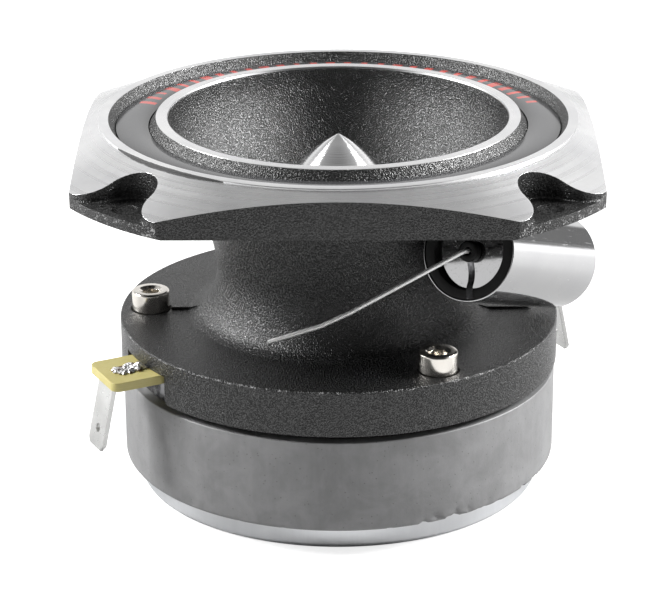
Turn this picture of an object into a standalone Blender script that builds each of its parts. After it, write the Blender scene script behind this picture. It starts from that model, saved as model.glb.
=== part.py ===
"""Bullet super-tweeter with a series capacitor, as an assembly of its separate pieces.

Frame: metres, +Z along the driver's axis towards the listener, origin at the middle of the
back plate's rear face. The flange's four flats face +X, -X, +Y and -Y.
"""

import math

import bmesh
import bpy
from mathutils import Matrix, Vector

MM = 0.001
GAP = 0.3 * MM
THIN_GAP = 0.1 * MM

# Horn casting: flange
FLANGE_HALF_WIDTH = 46.0 * MM
FLANGE_BLANK_RADIUS = 55.0 * MM
FLANGE_UNDERSIDE_Z = 61.08 * MM
SEAT_INNER_RADIUS = 42.0 * MM
SEAT_RELIEF = 0.3 * MM
LIP_TOP_Z = 69.14 * MM
LIP_INNER_RADIUS = 41.58 * MM
LIP_OUTER_RADIUS = 43.36 * MM
LIP_STEP = 0.41 * MM
CONE_SLOPE = 0.385

# Horn casting: label groove and mouth ring
GROOVE_FLOOR_Z = 67.2 * MM
GROOVE_OUTER_RADIUS = 40.3 * MM
GROOVE_INNER_RADIUS = 34.3 * MM
MOUTH_RING_OUTER_RADIUS = 33.0 * MM
MOUTH_RADIUS = 30.94 * MM

# Horn casting: corner pockets and mounting holes, along each diagonal
POCKET_FLOOR_Z = 63.1 * MM
POCKET_CENTRE = 50.1 * MM
POCKET_RADIUS = 5.1 * MM
POCKET_FLARE_CENTRE = (49.1 * MM, 10.05 * MM)
POCKET_FLARE_RADIUS = 5.0 * MM
MOUNT_HOLE_HALF_PITCH = 36.0 * MM
MOUNT_HOLE_RADIUS = 2.25 * MM

# Horn casting: base
BASE_RADIUS = 40.6 * MM
BASE_TOP_Z = 31.33 * MM
BASE_BOTTOM_Z = 22.8 * MM
SKIRT_INNER_RADIUS = 38.8 * MM
CARRIER_RECESS_RADIUS = 31.9 * MM
CHAMBER_RADIUS = 21.4 * MM
THROAT_RADIUS = 13.0 * MM

# Phase-plug bridge
HUB_RADIUS = 6.4 * MM
HUB_BOTTOM_Z = 34.7 * MM
HUB_TOP_Z = 39.0 * MM
BRIDGE_ARMS = 3
BRIDGE_ARM_WIDTH = 2.4 * MM

# Motor
BACK_PLATE_RADIUS = 37.5 * MM
BACK_PLATE_TOP_Z = 4.47 * MM
MAGNET_RADIUS = 40.3 * MM
MAGNET_HOLE_RADIUS = 20.5 * MM
MAGNET_TOP_Z = 21.7 * MM
TOP_PLATE_RADIUS = 38.5 * MM
TOP_PLATE_HOLE_RADIUS = 18.45 * MM
TOP_PLATE_TOP_Z = 26.5 * MM
POLE_RADIUS = 16.7 * MM
COIL_INNER_RADIUS = 17.4 * MM
COIL_OUTER_RADIUS = 17.95 * MM

# Diaphragm
CARRIER_TOP_Z = 28.25 * MM
CARRIER_THICKNESS = 1.65 * MM
CARRIER_RADIUS = 31.5 * MM
CARRIER_INNER_RADIUS = 21.2 * MM
DIAPHRAGM_Z = 28.05 * MM
DOME_RADIUS = 17.1 * MM
DOME_HEIGHT = 4.6 * MM
FOIL = 0.15 * MM

# Clamp screws, M4 socket head
SCREW_CIRCLE_RADIUS = 35.0 * MM
SCREW_ANGLES_DEG = (60.0, 180.0, 300.0)
SCREW_HEAD_RADIUS = 3.5 * MM
SCREW_HEAD_HEIGHT = 4.0 * MM
SCREW_HEAD_TOP_Z = 35.0 * MM
SCREW_SHANK_RADIUS = 1.95 * MM
SCREW_END_Z = 22.4 * MM
SOCKET_ACROSS_FLATS = 3.0 * MM
SOCKET_DEPTH = 2.2 * MM

# Terminals, on the two tabs of the diaphragm carrier
TAB_ANGLES_DEG = {"left": 207.5, "right": 27.5}
TAB_OFFSET = 2.2 * MM
TAB_WIDTH = 11.6 * MM
TAB_END = 48.8 * MM
TAB_CORNER = 1.3 * MM
NOTCH_SIDES = (-8.2 * MM, 6.8 * MM)
RIVET_DISTANCE = 43.8 * MM
RIVET_SIDE_SHIFT = 0.5 * MM
RIVET_RADIUS = 1.0 * MM
BLADE_WIDTH = 6.3 * MM
BLADE_THICKNESS = 0.8 * MM
BLADE_SIDE_SHIFT = -0.8 * MM
BLADE_TOP_DISTANCE = 47.5 * MM
BLADE_TIP_DISTANCE = 50.3 * MM
BLADE_TIP_Z = 14.0 * MM

# Capacitor: its front end's centre, and the direction of its axis from front to rear
CAPACITOR_FRONT = Vector((22.6, -27.0, 52.25)) * MM
CAPACITOR_AZIMUTH_DEG = 32.0
CAPACITOR_DROOP_DEG = 20.0
CAPACITOR_LENGTH = 34.8 * MM
CAPACITOR_RADIUS = 8.85 * MM
END_DISC_RADIUS = 6.5 * MM
END_DISC_DEPTH = 1.5 * MM
FOIL_STRIP_DEG = -75.0
LEAD_RADIUS = 0.42 * MM

ROUND = 64
MEDIUM_ROUND = 40
SMALL_ROUND = 24
SMOOTH_ANGLE = math.radians(35)


def collections():
    """The collection of the parts and the one of the cutters, in an emptied scene."""
    for obj in list(bpy.data.objects):
        bpy.data.objects.remove(obj)
    parts = bpy.data.collections.new("car_tweeter")
    cutters = bpy.data.collections.new("cutters")
    for collection in (parts, cutters):
        bpy.context.scene.collection.children.link(collection)
    cutters.hide_render = True
    return parts, cutters


PARTS, CUTTERS = collections()


def material(name, color, roughness, metallic=0.0):
    """A Principled BSDF of one colour, made once for each name."""
    made = bpy.data.materials.get(name)
    if made:
        return made
    made = bpy.data.materials.new(name)
    made.use_nodes = True
    shader = made.node_tree.nodes["Principled BSDF"]
    shader.inputs["Base Color"].default_value = (*color, 1.0)
    shader.inputs["Roughness"].default_value = roughness
    shader.inputs["Metallic"].default_value = metallic
    return made


def black_casting():
    return material("black_casting", (0.035, 0.035, 0.037), 0.55)


def bright_aluminium():
    return material("bright_aluminium", (0.85, 0.85, 0.86), 0.18, 1.0)


def zinc_plate():
    return material("zinc_plate", (0.66, 0.67, 0.68), 0.35, 1.0)


def dark_steel():
    return material("dark_steel", (0.12, 0.12, 0.13), 0.45, 1.0)


def ferrite():
    return material("ferrite", (0.19, 0.19, 0.19), 0.7)


def nickel():
    return material("nickel", (0.7, 0.66, 0.6), 0.25, 1.0)


def tinned_brass():
    return material("tinned_brass", (0.83, 0.83, 0.82), 0.25, 1.0)


def black_rubber():
    return material("black_rubber", (0.012, 0.012, 0.013), 0.35)


def add(name, mesh, look=None, parent=None):
    """A new object: a part where it has a material, otherwise a cutter."""
    obj = bpy.data.objects.new(name, mesh)
    obj.parent = parent
    if look:
        obj.data.materials.append(look)
        PARTS.objects.link(obj)
    else:
        CUTTERS.objects.link(obj)
        obj.hide_render = True
        obj.display_type = "WIRE"
    return obj


def smooth(mesh):
    mesh.shade_smooth()
    mesh.set_sharp_from_angle(angle=SMOOTH_ANGLE)


def arc(centre, radius, start_deg, end_deg, steps):
    """Points of an arc about a centre, both ends among them."""
    angles = [start_deg + (end_deg - start_deg) * i / steps for i in range(steps + 1)]
    return [
        (
            centre[0] + radius * math.cos(math.radians(angle)),
            centre[1] + radius * math.sin(math.radians(angle)),
        )
        for angle in angles
    ]


def circle(centre, radius, steps):
    return arc(centre, radius, 0.0, 360.0 - 360.0 / steps, steps - 1)


def turned(name, profile, look=None, parent=None, steps=ROUND, ring=False):
    """A profile of (radius, height) points turned about Z; a ring's profile closes on itself."""
    mesh = bpy.data.meshes.new(name)
    count = len(profile)
    edges = [(i, i + 1) for i in range(count - 1)]
    if ring:
        edges.append((count - 1, 0))
    mesh.from_pydata([(radius, 0.0, z) for radius, z in profile], edges, [])
    obj = add(name, mesh, look, parent)
    screw = obj.modifiers.new("Turn", "SCREW")
    screw.axis = "Z"
    screw.steps = steps
    screw.render_steps = steps
    screw.use_merge_vertices = True
    screw.merge_threshold = 0.00001
    screw.use_smooth_shade = True
    return obj


def tube_ring(name, inner, outer, bottom, top, look=None, parent=None, steps=ROUND):
    """A plain ring, such as a washer or a magnet."""
    profile = [(outer, top), (outer, bottom), (inner, bottom), (inner, top)]
    return turned(name, profile, look, parent, steps, ring=True)


def disc(name, radius, bottom, top, look=None, parent=None, steps=SMALL_ROUND):
    profile = [(0.0, top), (radius, top), (radius, bottom), (0.0, bottom)]
    return turned(name, profile, look, parent, steps)


def outline_plate(name, outline, bottom, top, look=None, parent=None, holes=()):
    """A flat outline of (x, y) points as a filled 2D curve with a thickness, made a mesh."""
    curve = bpy.data.curves.new(name, "CURVE")
    curve.dimensions = "2D"
    curve.fill_mode = "BOTH"
    curve.extrude = (top - bottom) / 2
    for loop in (outline, *holes):
        spline = curve.splines.new("POLY")
        spline.points.add(len(loop) - 1)
        for point, (x, y) in zip(spline.points, loop):
            point.co = (x, y, 0.0, 1.0)
        spline.use_cyclic_u = True
    guide = bpy.data.objects.new(name + "_guide", curve)
    mesh = mesh_of(guide)
    mesh.transform(Matrix.Translation((0.0, 0.0, (top + bottom) / 2)))
    return add(name, mesh, look, parent)


def mesh_of(guide):
    """The closed mesh of a curve object, which is removed."""
    CUTTERS.objects.link(guide)
    bpy.context.view_layer.update()
    graph = bpy.context.evaluated_depsgraph_get()
    mesh = bpy.data.meshes.new_from_object(guide.evaluated_get(graph))
    bpy.data.objects.remove(guide)
    work = bmesh.new()
    work.from_mesh(mesh)
    bmesh.ops.remove_doubles(work, verts=work.verts, dist=0.000001)
    bmesh.ops.recalc_face_normals(work, faces=work.faces)
    work.to_mesh(mesh)
    work.free()
    return mesh


def wire(name, points, radius, look, parent=None):
    """A round wire through the points, with filled ends."""
    curve = bpy.data.curves.new(name, "CURVE")
    curve.dimensions = "3D"
    curve.bevel_depth = radius
    curve.bevel_resolution = 2
    curve.use_fill_caps = True
    spline = curve.splines.new("POLY")
    spline.points.add(len(points) - 1)
    for point, place in zip(spline.points, points):
        point.co = (*place, 1.0)
    guide = bpy.data.objects.new(name + "_guide", curve)
    mesh = mesh_of(guide)
    smooth(mesh)
    return add(name, mesh, look, parent)


def box(name, low, high, look=None, parent=None):
    """A block between two corners."""
    work = bmesh.new()
    bmesh.ops.create_cube(work, size=1.0)
    size = [b - a for a, b in zip(low, high)]
    middle = [(a + b) / 2 for a, b in zip(low, high)]
    bmesh.ops.scale(work, vec=size, verts=work.verts)
    bmesh.ops.translate(work, vec=middle, verts=work.verts)
    mesh = bpy.data.meshes.new(name)
    work.to_mesh(mesh)
    work.free()
    return add(name, mesh, look, parent)


def boolean(obj, tool, operation="DIFFERENCE", solver="EXACT"):
    step = obj.modifiers.new(tool.name, "BOOLEAN")
    step.operation = operation
    step.object = tool
    step.solver = solver


def turned_about_z(obj, angle_deg):
    obj.rotation_euler = (0.0, 0.0, math.radians(angle_deg))
    return obj


def set_on_tab(obj, angle_deg):
    """Moves what was made along +X to a tab's direction and side offset."""
    obj.location = Matrix.Rotation(math.radians(angle_deg), 3, "Z") @ Vector((0.0, TAB_OFFSET, 0.0))
    return turned_about_z(obj, angle_deg)


def tab_place(distance, side_shift, angle_deg, z=0.0):
    """A place given along and across a tab's own middle line."""
    turn = Matrix.Rotation(math.radians(angle_deg), 3, "Z")
    return turn @ Vector((distance, TAB_OFFSET + side_shift, z))


def cone_z(radius):
    """Height of the flange's machined cone."""
    return LIP_TOP_Z - LIP_STEP - CONE_SLOPE * (radius - LIP_OUTER_RADIUS)


def neck_profile():
    """The neck's outer wall, from the flange's underside down to the base's top face."""
    points = ((30.5, 61.38), (28.2, 59.2), (26.3, 56.2), (25.1, 52.4), (24.0, 48.4))
    points += ((23.1, 44.6), (22.6, 42.2), (22.43, 40.5), (22.55, 38.6), (23.1, 36.4))
    points += ((24.2, 34.0), (25.9, 32.1), (28.2, 31.33))
    return [(radius * MM, z * MM) for radius, z in points]


def bowl_profile():
    """The horn's inner wall, from the throat up to the mouth."""
    points = ((13.0, 35.0), (13.1, 38.0), (13.9, 41.2), (15.8, 44.8), (18.6, 48.4))
    points += ((21.6, 51.8), (24.4, 55.2), (26.8, 58.6), (28.8, 62.0), (30.2, 65.6))
    return [(radius * MM, z * MM) for radius, z in points]


def casting_profile():
    flange = [
        (LIP_INNER_RADIUS, LIP_TOP_Z),
        (LIP_OUTER_RADIUS, LIP_TOP_Z),
        (LIP_OUTER_RADIUS, LIP_TOP_Z - LIP_STEP),
        (FLANGE_BLANK_RADIUS, cone_z(FLANGE_BLANK_RADIUS)),
        (FLANGE_BLANK_RADIUS, FLANGE_UNDERSIDE_Z),
        (SEAT_INNER_RADIUS, FLANGE_UNDERSIDE_Z),
        (SEAT_INNER_RADIUS, FLANGE_UNDERSIDE_Z + SEAT_RELIEF),
    ]
    base = [
        (BASE_RADIUS, BASE_TOP_Z),
        (BASE_RADIUS, BASE_BOTTOM_Z),
        (SKIRT_INNER_RADIUS, BASE_BOTTOM_Z),
        (SKIRT_INNER_RADIUS, TOP_PLATE_TOP_Z + THIN_GAP),
        (CARRIER_RECESS_RADIUS, TOP_PLATE_TOP_Z + THIN_GAP),
        (CARRIER_RECESS_RADIUS, CARRIER_TOP_Z + THIN_GAP),
        (23.3 * MM, CARRIER_TOP_Z + THIN_GAP),
        (23.3 * MM, CARRIER_TOP_Z + 2 * GAP),
        (CHAMBER_RADIUS, CARRIER_TOP_Z + 2 * GAP),
        (CHAMBER_RADIUS, 30.4 * MM),
        (17.4 * MM, 31.0 * MM),
        (13.5 * MM, 33.2 * MM),
    ]
    mouth = [
        (MOUTH_RADIUS, LIP_TOP_Z),
        (MOUTH_RING_OUTER_RADIUS, LIP_TOP_Z),
        (GROOVE_INNER_RADIUS, GROOVE_FLOOR_Z),
        (GROOVE_OUTER_RADIUS, GROOVE_FLOOR_Z),
    ]
    return flange + neck_profile() + base + bowl_profile() + mouth


def pocket_outline():
    """A corner pocket along +X: a round inner end whose sides flare out to the flange's rim."""
    flare_u, flare_v = POCKET_FLARE_CENTRE
    meeting = math.degrees(math.atan2(flare_v, flare_u - POCKET_CENTRE))
    inner = arc((POCKET_CENTRE, 0.0), POCKET_RADIUS, meeting, 360.0 - meeting, 14)
    flare = arc((flare_u, -flare_v), POCKET_FLARE_RADIUS, 180.0 - meeting, -13.6, 6)
    outside = [(flare_u + 1.8 * POCKET_FLARE_RADIUS, -12.5 * MM)]
    lower = flare[1:] + outside
    return inner + lower + [(u, -v) for u, v in reversed(lower)]


def cut_flange(casting):
    """Four flats round the flange, four corner pockets, and a mounting hole in each."""
    half = FLANGE_HALF_WIDTH
    low = (-half, -half, BASE_BOTTOM_Z - 5 * MM)
    square = box("cut_flange_flats", low, (half, half, LIP_TOP_Z + 5 * MM))
    boolean(casting, square, "INTERSECT")
    top = LIP_TOP_Z + 2 * MM
    for corner in range(4):
        angle = 45.0 + 90.0 * corner
        pocket = outline_plate(f"cut_pocket_{corner + 1}", pocket_outline(), POCKET_FLOOR_Z, top)
        boolean(casting, turned_about_z(pocket, angle))
        hole = disc(f"cut_mount_hole_{corner + 1}", MOUNT_HOLE_RADIUS, 59 * MM, 70 * MM, steps=SMALL_ROUND)
        distance = MOUNT_HOLE_HALF_PITCH * math.sqrt(2)
        hole.location = polar(distance, angle)
        boolean(casting, hole)


def polar(distance, angle_deg, z=0.0):
    angle = math.radians(angle_deg)
    return Vector((distance * math.cos(angle), distance * math.sin(angle), z))


def join_bridge(casting):
    """The hub in the throat, on its arms, with the plug screw's counterbored hole."""
    hub = disc("join_hub", HUB_RADIUS, HUB_BOTTOM_Z, HUB_TOP_Z)
    boolean(casting, hub, "UNION")
    reach = THROAT_RADIUS + 1.5 * MM
    half = BRIDGE_ARM_WIDTH / 2
    bottom, top = HUB_BOTTOM_Z + 0.6 * MM, HUB_TOP_Z - 0.6 * MM
    for arm in range(BRIDGE_ARMS):
        low = (HUB_RADIUS - 1.5 * MM, -half, bottom)
        bar = box(f"join_arm_{arm + 1}", low, (reach, half, top))
        boolean(casting, turned_about_z(bar, 90.0 + 360.0 * arm / BRIDGE_ARMS), "UNION")
    hole = [
        (0.0, HUB_TOP_Z + 1 * MM),
        (1.75 * MM, HUB_TOP_Z + 1 * MM),
        (1.75 * MM, HUB_BOTTOM_Z + 1.9 * MM),
        (3.1 * MM, HUB_BOTTOM_Z + 1.9 * MM),
        (3.1 * MM, HUB_BOTTOM_Z - 1 * MM),
        (0.0, HUB_BOTTOM_Z - 1 * MM),
    ]
    boolean(casting, turned("cut_hub_hole", hole, steps=SMALL_ROUND))


def cut_base(casting):
    """Screw holes with their spotfaces, and the two notches the terminal tabs come out of."""
    floor = SCREW_HEAD_TOP_Z - SCREW_HEAD_HEIGHT - 1.5 * THIN_GAP
    profile = [
        (0.0, floor + 3 * MM),
        (SCREW_HEAD_RADIUS + 0.4 * MM, floor + 3 * MM),
        (SCREW_HEAD_RADIUS + 0.4 * MM, floor),
        (SCREW_SHANK_RADIUS + GAP, floor),
        (SCREW_SHANK_RADIUS + GAP, BASE_BOTTOM_Z),
        (0.0, BASE_BOTTOM_Z),
    ]
    for number, angle in enumerate(SCREW_ANGLES_DEG, 1):
        hole = turned(f"cut_screw_hole_{number}", profile, steps=SMALL_ROUND)
        hole.location = polar(SCREW_CIRCLE_RADIUS, angle)
        boolean(casting, hole)
    for side, angle in TAB_ANGLES_DEG.items():
        low = (CARRIER_RECESS_RADIUS - 2 * MM, NOTCH_SIDES[0], BASE_BOTTOM_Z - 1 * MM)
        high = (BASE_RADIUS + 2 * MM, NOTCH_SIDES[1], CARRIER_TOP_Z + THIN_GAP)
        notch = box(f"cut_notch_{side}", low, high)
        boolean(casting, set_on_tab(notch, angle))


def horn_casting():
    casting = turned("horn_casting", casting_profile(), black_casting(), ring=True)
    cut_flange(casting)
    join_bridge(casting)
    cut_base(casting)


def trim_ring():
    """The label ring that lies in the groove, with chamfered edges."""
    look = material("trim_black", (0.06, 0.06, 0.065), 0.3)
    bottom = GROOVE_FLOOR_Z + THIN_GAP
    top = bottom + 0.55 * MM
    inner, outer = GROOVE_INNER_RADIUS + 0.1 * MM, GROOVE_OUTER_RADIUS - 0.1 * MM
    turned("trim_ring", [(outer, top), (outer, bottom), (inner, bottom), (inner, top)], look, ring=True)


def plug_profile():
    """The bullet: a rounded tip, an ogive to its widest ring, and a taper down to the hub."""
    points = ((0.0, 65.2), (0.45, 65.05), (1.04, 64.69), (2.44, 63.9), (3.83, 62.88))
    points += ((5.23, 61.8), (6.63, 60.4), (7.9, 58.9), (9.1, 56.9), (10.0, 54.5))
    points += ((10.5, 51.6), (10.3, 48.6), (9.5, 45.4), (8.2, 42.2), (6.9, 39.9), (6.2, 39.1))
    return [(radius * MM, z * MM) for radius, z in points]


def phase_plug():
    """The bullet with its tapped hole from below, and the pan-head screw that holds it."""
    hole = [(1.7 * MM, HUB_TOP_Z + THIN_GAP), (1.7 * MM, 46 * MM), (0.0, 47 * MM)]
    turned("phase_plug", plug_profile() + hole, bright_aluminium(), steps=MEDIUM_ROUND)
    head_z = HUB_BOTTOM_Z + 1.9 * MM - THIN_GAP
    screw = [(0.0, 45.5 * MM), (1.4 * MM, 45.5 * MM), (1.4 * MM, head_z), (2.8 * MM, head_z)]
    screw += [(2.6 * MM, head_z - 1.3 * MM), (1.6 * MM, head_z - 1.7 * MM), (0.0, head_z - 1.8 * MM)]
    turned("plug_screw", screw, nickel(), steps=SMALL_ROUND)


def clamp_screws():
    """Three socket-head screws that share one mesh."""
    under_head = SCREW_HEAD_TOP_Z - SCREW_HEAD_HEIGHT
    chamfer = 0.35 * MM
    profile = [
        (0.0, SCREW_HEAD_TOP_Z),
        (SCREW_HEAD_RADIUS - chamfer, SCREW_HEAD_TOP_Z),
        (SCREW_HEAD_RADIUS, SCREW_HEAD_TOP_Z - chamfer),
        (SCREW_HEAD_RADIUS, under_head),
        (SCREW_SHANK_RADIUS, under_head),
        (SCREW_SHANK_RADIUS, SCREW_END_Z + chamfer),
        (SCREW_SHANK_RADIUS - chamfer, SCREW_END_Z),
        (0.0, SCREW_END_Z),
    ]
    pattern = turned("screw_pattern", profile, steps=SMALL_ROUND)
    socket = disc(
        "cut_socket",
        SOCKET_ACROSS_FLATS / math.sqrt(3),
        SCREW_HEAD_TOP_Z - SOCKET_DEPTH,
        SCREW_HEAD_TOP_Z + 1 * MM,
        steps=6,
    )
    boolean(pattern, socket)
    bpy.context.view_layer.update()
    graph = bpy.context.evaluated_depsgraph_get()
    mesh = bpy.data.meshes.new_from_object(pattern.evaluated_get(graph))
    bpy.data.objects.remove(pattern)
    mesh.name = "clamp_screw"
    smooth(mesh)
    mesh.materials.append(nickel())
    for number, angle in enumerate(SCREW_ANGLES_DEG, 1):
        screw = bpy.data.objects.new(f"clamp_screw_{number}", mesh)
        PARTS.objects.link(screw)
        screw.location = polar(SCREW_CIRCLE_RADIUS, angle)


def motor():
    """Back plate, pole, magnet and top plate: the steel circuit round the coil's gap."""
    edge = 0.5 * MM
    back = [
        (0.0, BACK_PLATE_TOP_Z),
        (BACK_PLATE_RADIUS, BACK_PLATE_TOP_Z),
        (BACK_PLATE_RADIUS, edge),
        (BACK_PLATE_RADIUS - edge, 0.0),
        (0.0, 0.0),
    ]
    turned("back_plate", back, zinc_plate())
    pole_bottom = BACK_PLATE_TOP_Z + THIN_GAP
    pole = [
        (0.0, TOP_PLATE_TOP_Z),
        (POLE_RADIUS - edge, TOP_PLATE_TOP_Z),
        (POLE_RADIUS, TOP_PLATE_TOP_Z - edge),
        (POLE_RADIUS, pole_bottom),
        (0.0, pole_bottom),
    ]
    turned("pole_piece", pole, zinc_plate(), steps=MEDIUM_ROUND)
    bottom = BACK_PLATE_TOP_Z + THIN_GAP
    magnet = [
        (MAGNET_RADIUS - edge, MAGNET_TOP_Z),
        (MAGNET_RADIUS, MAGNET_TOP_Z - edge),
        (MAGNET_RADIUS, bottom + edge),
        (MAGNET_RADIUS - edge, bottom),
        (MAGNET_HOLE_RADIUS, bottom),
        (MAGNET_HOLE_RADIUS, MAGNET_TOP_Z),
    ]
    turned("magnet_ring", magnet, ferrite(), ring=True)
    plate_bottom = MAGNET_TOP_Z + THIN_GAP
    plate = tube_ring(
        "top_plate", TOP_PLATE_HOLE_RADIUS, TOP_PLATE_RADIUS, plate_bottom, TOP_PLATE_TOP_Z, dark_steel()
    )
    for number, angle in enumerate(SCREW_ANGLES_DEG, 1):
        hole = disc(
            f"cut_plate_hole_{number}",
            SCREW_SHANK_RADIUS + 0.2 * MM,
            plate_bottom - 1 * MM,
            TOP_PLATE_TOP_Z + 1 * MM,
            steps=SMALL_ROUND,
        )
        hole.location = polar(SCREW_CIRCLE_RADIUS, angle)
        boolean(plate, hole)
    felt = material("felt", (0.25, 0.24, 0.22), 0.95)
    disc("damping_felt", 13.5 * MM, TOP_PLATE_TOP_Z + THIN_GAP, 28.2 * MM, felt, steps=MEDIUM_ROUND)


def dome_profile():
    """A spherical cap of foil with a flat rim, outer face first."""
    ball = (DOME_RADIUS**2 + DOME_HEIGHT**2) / (2 * DOME_HEIGHT)
    centre = (0.0, DIAPHRAGM_Z + DOME_HEIGHT - ball)
    half_deg = math.degrees(math.asin(DOME_RADIUS / ball))
    outer = arc(centre, ball, 90.0, 90.0 - half_deg, 6)
    rim = 18.4 * MM
    lower = arc((0.0, centre[1] - FOIL), ball, 90.0 - half_deg, 90.0, 6)
    outer[0] = (0.0, outer[0][1])
    lower[-1] = (0.0, lower[-1][1])
    return outer + [(rim, DIAPHRAGM_Z), (rim, DIAPHRAGM_Z - FOIL)] + lower


def surround_profile():
    """A half roll between the dome's rim and the flat that the carrier holds."""
    inner, roll_start, roll_end, outer = 17.6 * MM, 18.7 * MM, 21.1 * MM, 23.0 * MM
    bottom = DIAPHRAGM_Z + FOIL + THIN_GAP
    middle = ((roll_start + roll_end) / 2, bottom)
    radius = (roll_end - roll_start) / 2
    under = arc(middle, radius - FOIL, 0.0, 180.0, 4)
    over = arc((middle[0], bottom), radius, 180.0, 0.0, 4)
    top = bottom + FOIL
    upper = [(radius_at, max(z, top)) for radius_at, z in over]
    return [(inner, top)] + upper + [(outer, top), (outer, bottom)] + under + [(inner, bottom)]


def diaphragm(travel):
    """What moves: dome, former and coil. The surround bends between them and the carrier."""
    titanium = material("titanium", (0.62, 0.6, 0.58), 0.3, 1.0)
    film = material("polyimide_film", (0.45, 0.22, 0.05), 0.35)
    copper = material("copper", (0.8, 0.42, 0.25), 0.3, 1.0)
    turned("diaphragm_dome", dome_profile(), titanium, travel, steps=MEDIUM_ROUND)
    top = DIAPHRAGM_Z - FOIL - THIN_GAP
    tube_ring("coil_former", 17.1 * MM, 17.3 * MM, 21.9 * MM, top, film, travel, steps=MEDIUM_ROUND)
    radii = (COIL_INNER_RADIUS, COIL_OUTER_RADIUS)
    tube_ring("voice_coil", *radii, 22.2 * MM, 25.9 * MM, copper, travel, steps=MEDIUM_ROUND)
    turned("surround", surround_profile(), film, steps=MEDIUM_ROUND, ring=True)


def carrier_outline():
    """Outer edge of the carrier: a circle that two round-cornered tabs stand out of."""
    left, right = TAB_OFFSET + TAB_WIDTH / 2, TAB_OFFSET - TAB_WIDTH / 2
    left_root, right_root = (math.degrees(math.asin(y / CARRIER_RADIUS)) for y in (left, right))
    inset = TAB_END - TAB_CORNER
    tab = arc((inset, right + TAB_CORNER), TAB_CORNER, -90.0, 0.0, 3)
    tab += arc((inset, left - TAB_CORNER), TAB_CORNER, 0.0, 90.0, 3)
    outline = []
    for angle in sorted(TAB_ANGLES_DEG.values()):
        turn = Matrix.Rotation(math.radians(angle), 2)
        outline += [tuple(turn @ Vector(point)) for point in tab]
        start, end = angle + left_root, angle + 180.0 + right_root
        outline += arc((0.0, 0.0), CARRIER_RADIUS, start, end, 20)
    return outline


def diaphragm_carrier():
    """Glass-fibre ring with two tabs, each drilled for its rivet and grooved for its ribbon."""
    look = material("glass_fibre", (0.5, 0.44, 0.16), 0.45)
    bottom = CARRIER_TOP_Z - CARRIER_THICKNESS
    holes = [circle((0.0, 0.0), CARRIER_INNER_RADIUS, ROUND)]
    for angle in TAB_ANGLES_DEG.values():
        rivet = tab_place(RIVET_DISTANCE, RIVET_SIDE_SHIFT, angle)
        holes.append(circle(rivet, RIVET_RADIUS + 0.2 * MM, 16))
    ring = outline_plate(
        "diaphragm_carrier", carrier_outline(), bottom, CARRIER_TOP_Z, look, holes=holes
    )
    seat = disc("cut_surround_seat", 23.3 * MM, DIAPHRAGM_Z, 30 * MM, steps=ROUND)
    boolean(ring, seat)
    for side, angle in TAB_ANGLES_DEG.items():
        low = (20 * MM, -1.1 * MM, CARRIER_TOP_Z - 0.4 * MM)
        groove = box(f"cut_ribbon_groove_{side}", low, (40.5 * MM, 1.1 * MM, 30 * MM))
        boolean(ring, set_on_tab(groove, angle), solver="MANIFOLD")


def terminal_parent(side, angle_deg):
    """An empty whose +X runs outwards along the tab."""
    empty = bpy.data.objects.new(f"{side}_terminal", None)
    PARTS.objects.link(empty)
    return set_on_tab(empty, angle_deg)


def blade_outline():
    """Side view of a blade as (distance, height): a foot under the tab, bent down and outwards."""
    under = CARRIER_TOP_Z - CARRIER_THICKNESS - THIN_GAP
    foot_start = RIVET_DISTANCE - 2.6 * MM
    drop = Vector((BLADE_TIP_DISTANCE - BLADE_TOP_DISTANCE, BLADE_TIP_Z - under)).normalized()
    across = Vector((-drop.y, drop.x)) * BLADE_THICKNESS
    top = Vector((BLADE_TOP_DISTANCE, under))
    tip = Vector((BLADE_TIP_DISTANCE, BLADE_TIP_Z))
    inner_bend = top - across + drop * BLADE_THICKNESS
    points = [Vector((foot_start, under)), top, tip, tip - across, inner_bend]
    points.append(Vector((foot_start, under - BLADE_THICKNESS)))
    return points


def terminal_blade(side, empty):
    """The blade's side view given its width, then chamfered at the tip and drilled."""
    outline = [(point.x, point.y) for point in blade_outline()]
    half = BLADE_WIDTH / 2
    blade = outline_plate(f"terminal_blade_{side}", outline, -half, half, tinned_brass(), empty)
    stand_up = Matrix.Rotation(math.radians(90), 4, "X")
    blade.data.transform(Matrix.Translation((0.0, BLADE_SIDE_SHIFT, 0.0)) @ stand_up)
    for edge in (-1, 1):
        corner = box(f"cut_blade_corner_{side}_{edge + 2}", (-3 * MM,) * 3, (3 * MM,) * 3)
        corner.parent = empty
        corner.rotation_euler = (math.radians(45), 0.0, 0.0)
        reach = BLADE_WIDTH / 2 + 3.2 * MM
        corner.location = (BLADE_TIP_DISTANCE, BLADE_SIDE_SHIFT + edge * reach, BLADE_TIP_Z)
        boolean(blade, corner)
    for name, x, z, turn, radius in (
        ("lug", BLADE_TIP_DISTANCE - 0.9 * MM, BLADE_TIP_Z + 3.6 * MM, 90.0, 0.8 * MM),
        ("rivet", RIVET_DISTANCE, CARRIER_TOP_Z - CARRIER_THICKNESS, 0.0, RIVET_RADIUS + 0.2 * MM),
    ):
        hole = disc(f"cut_blade_{name}_{side}", radius, -2 * MM, 2 * MM, steps=16)
        hole.parent = empty
        hole.rotation_euler = (0.0, math.radians(turn), 0.0)
        hole.location = (x, BLADE_SIDE_SHIFT if name == "lug" else RIVET_SIDE_SHIFT, z)
        boolean(blade, hole)


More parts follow.
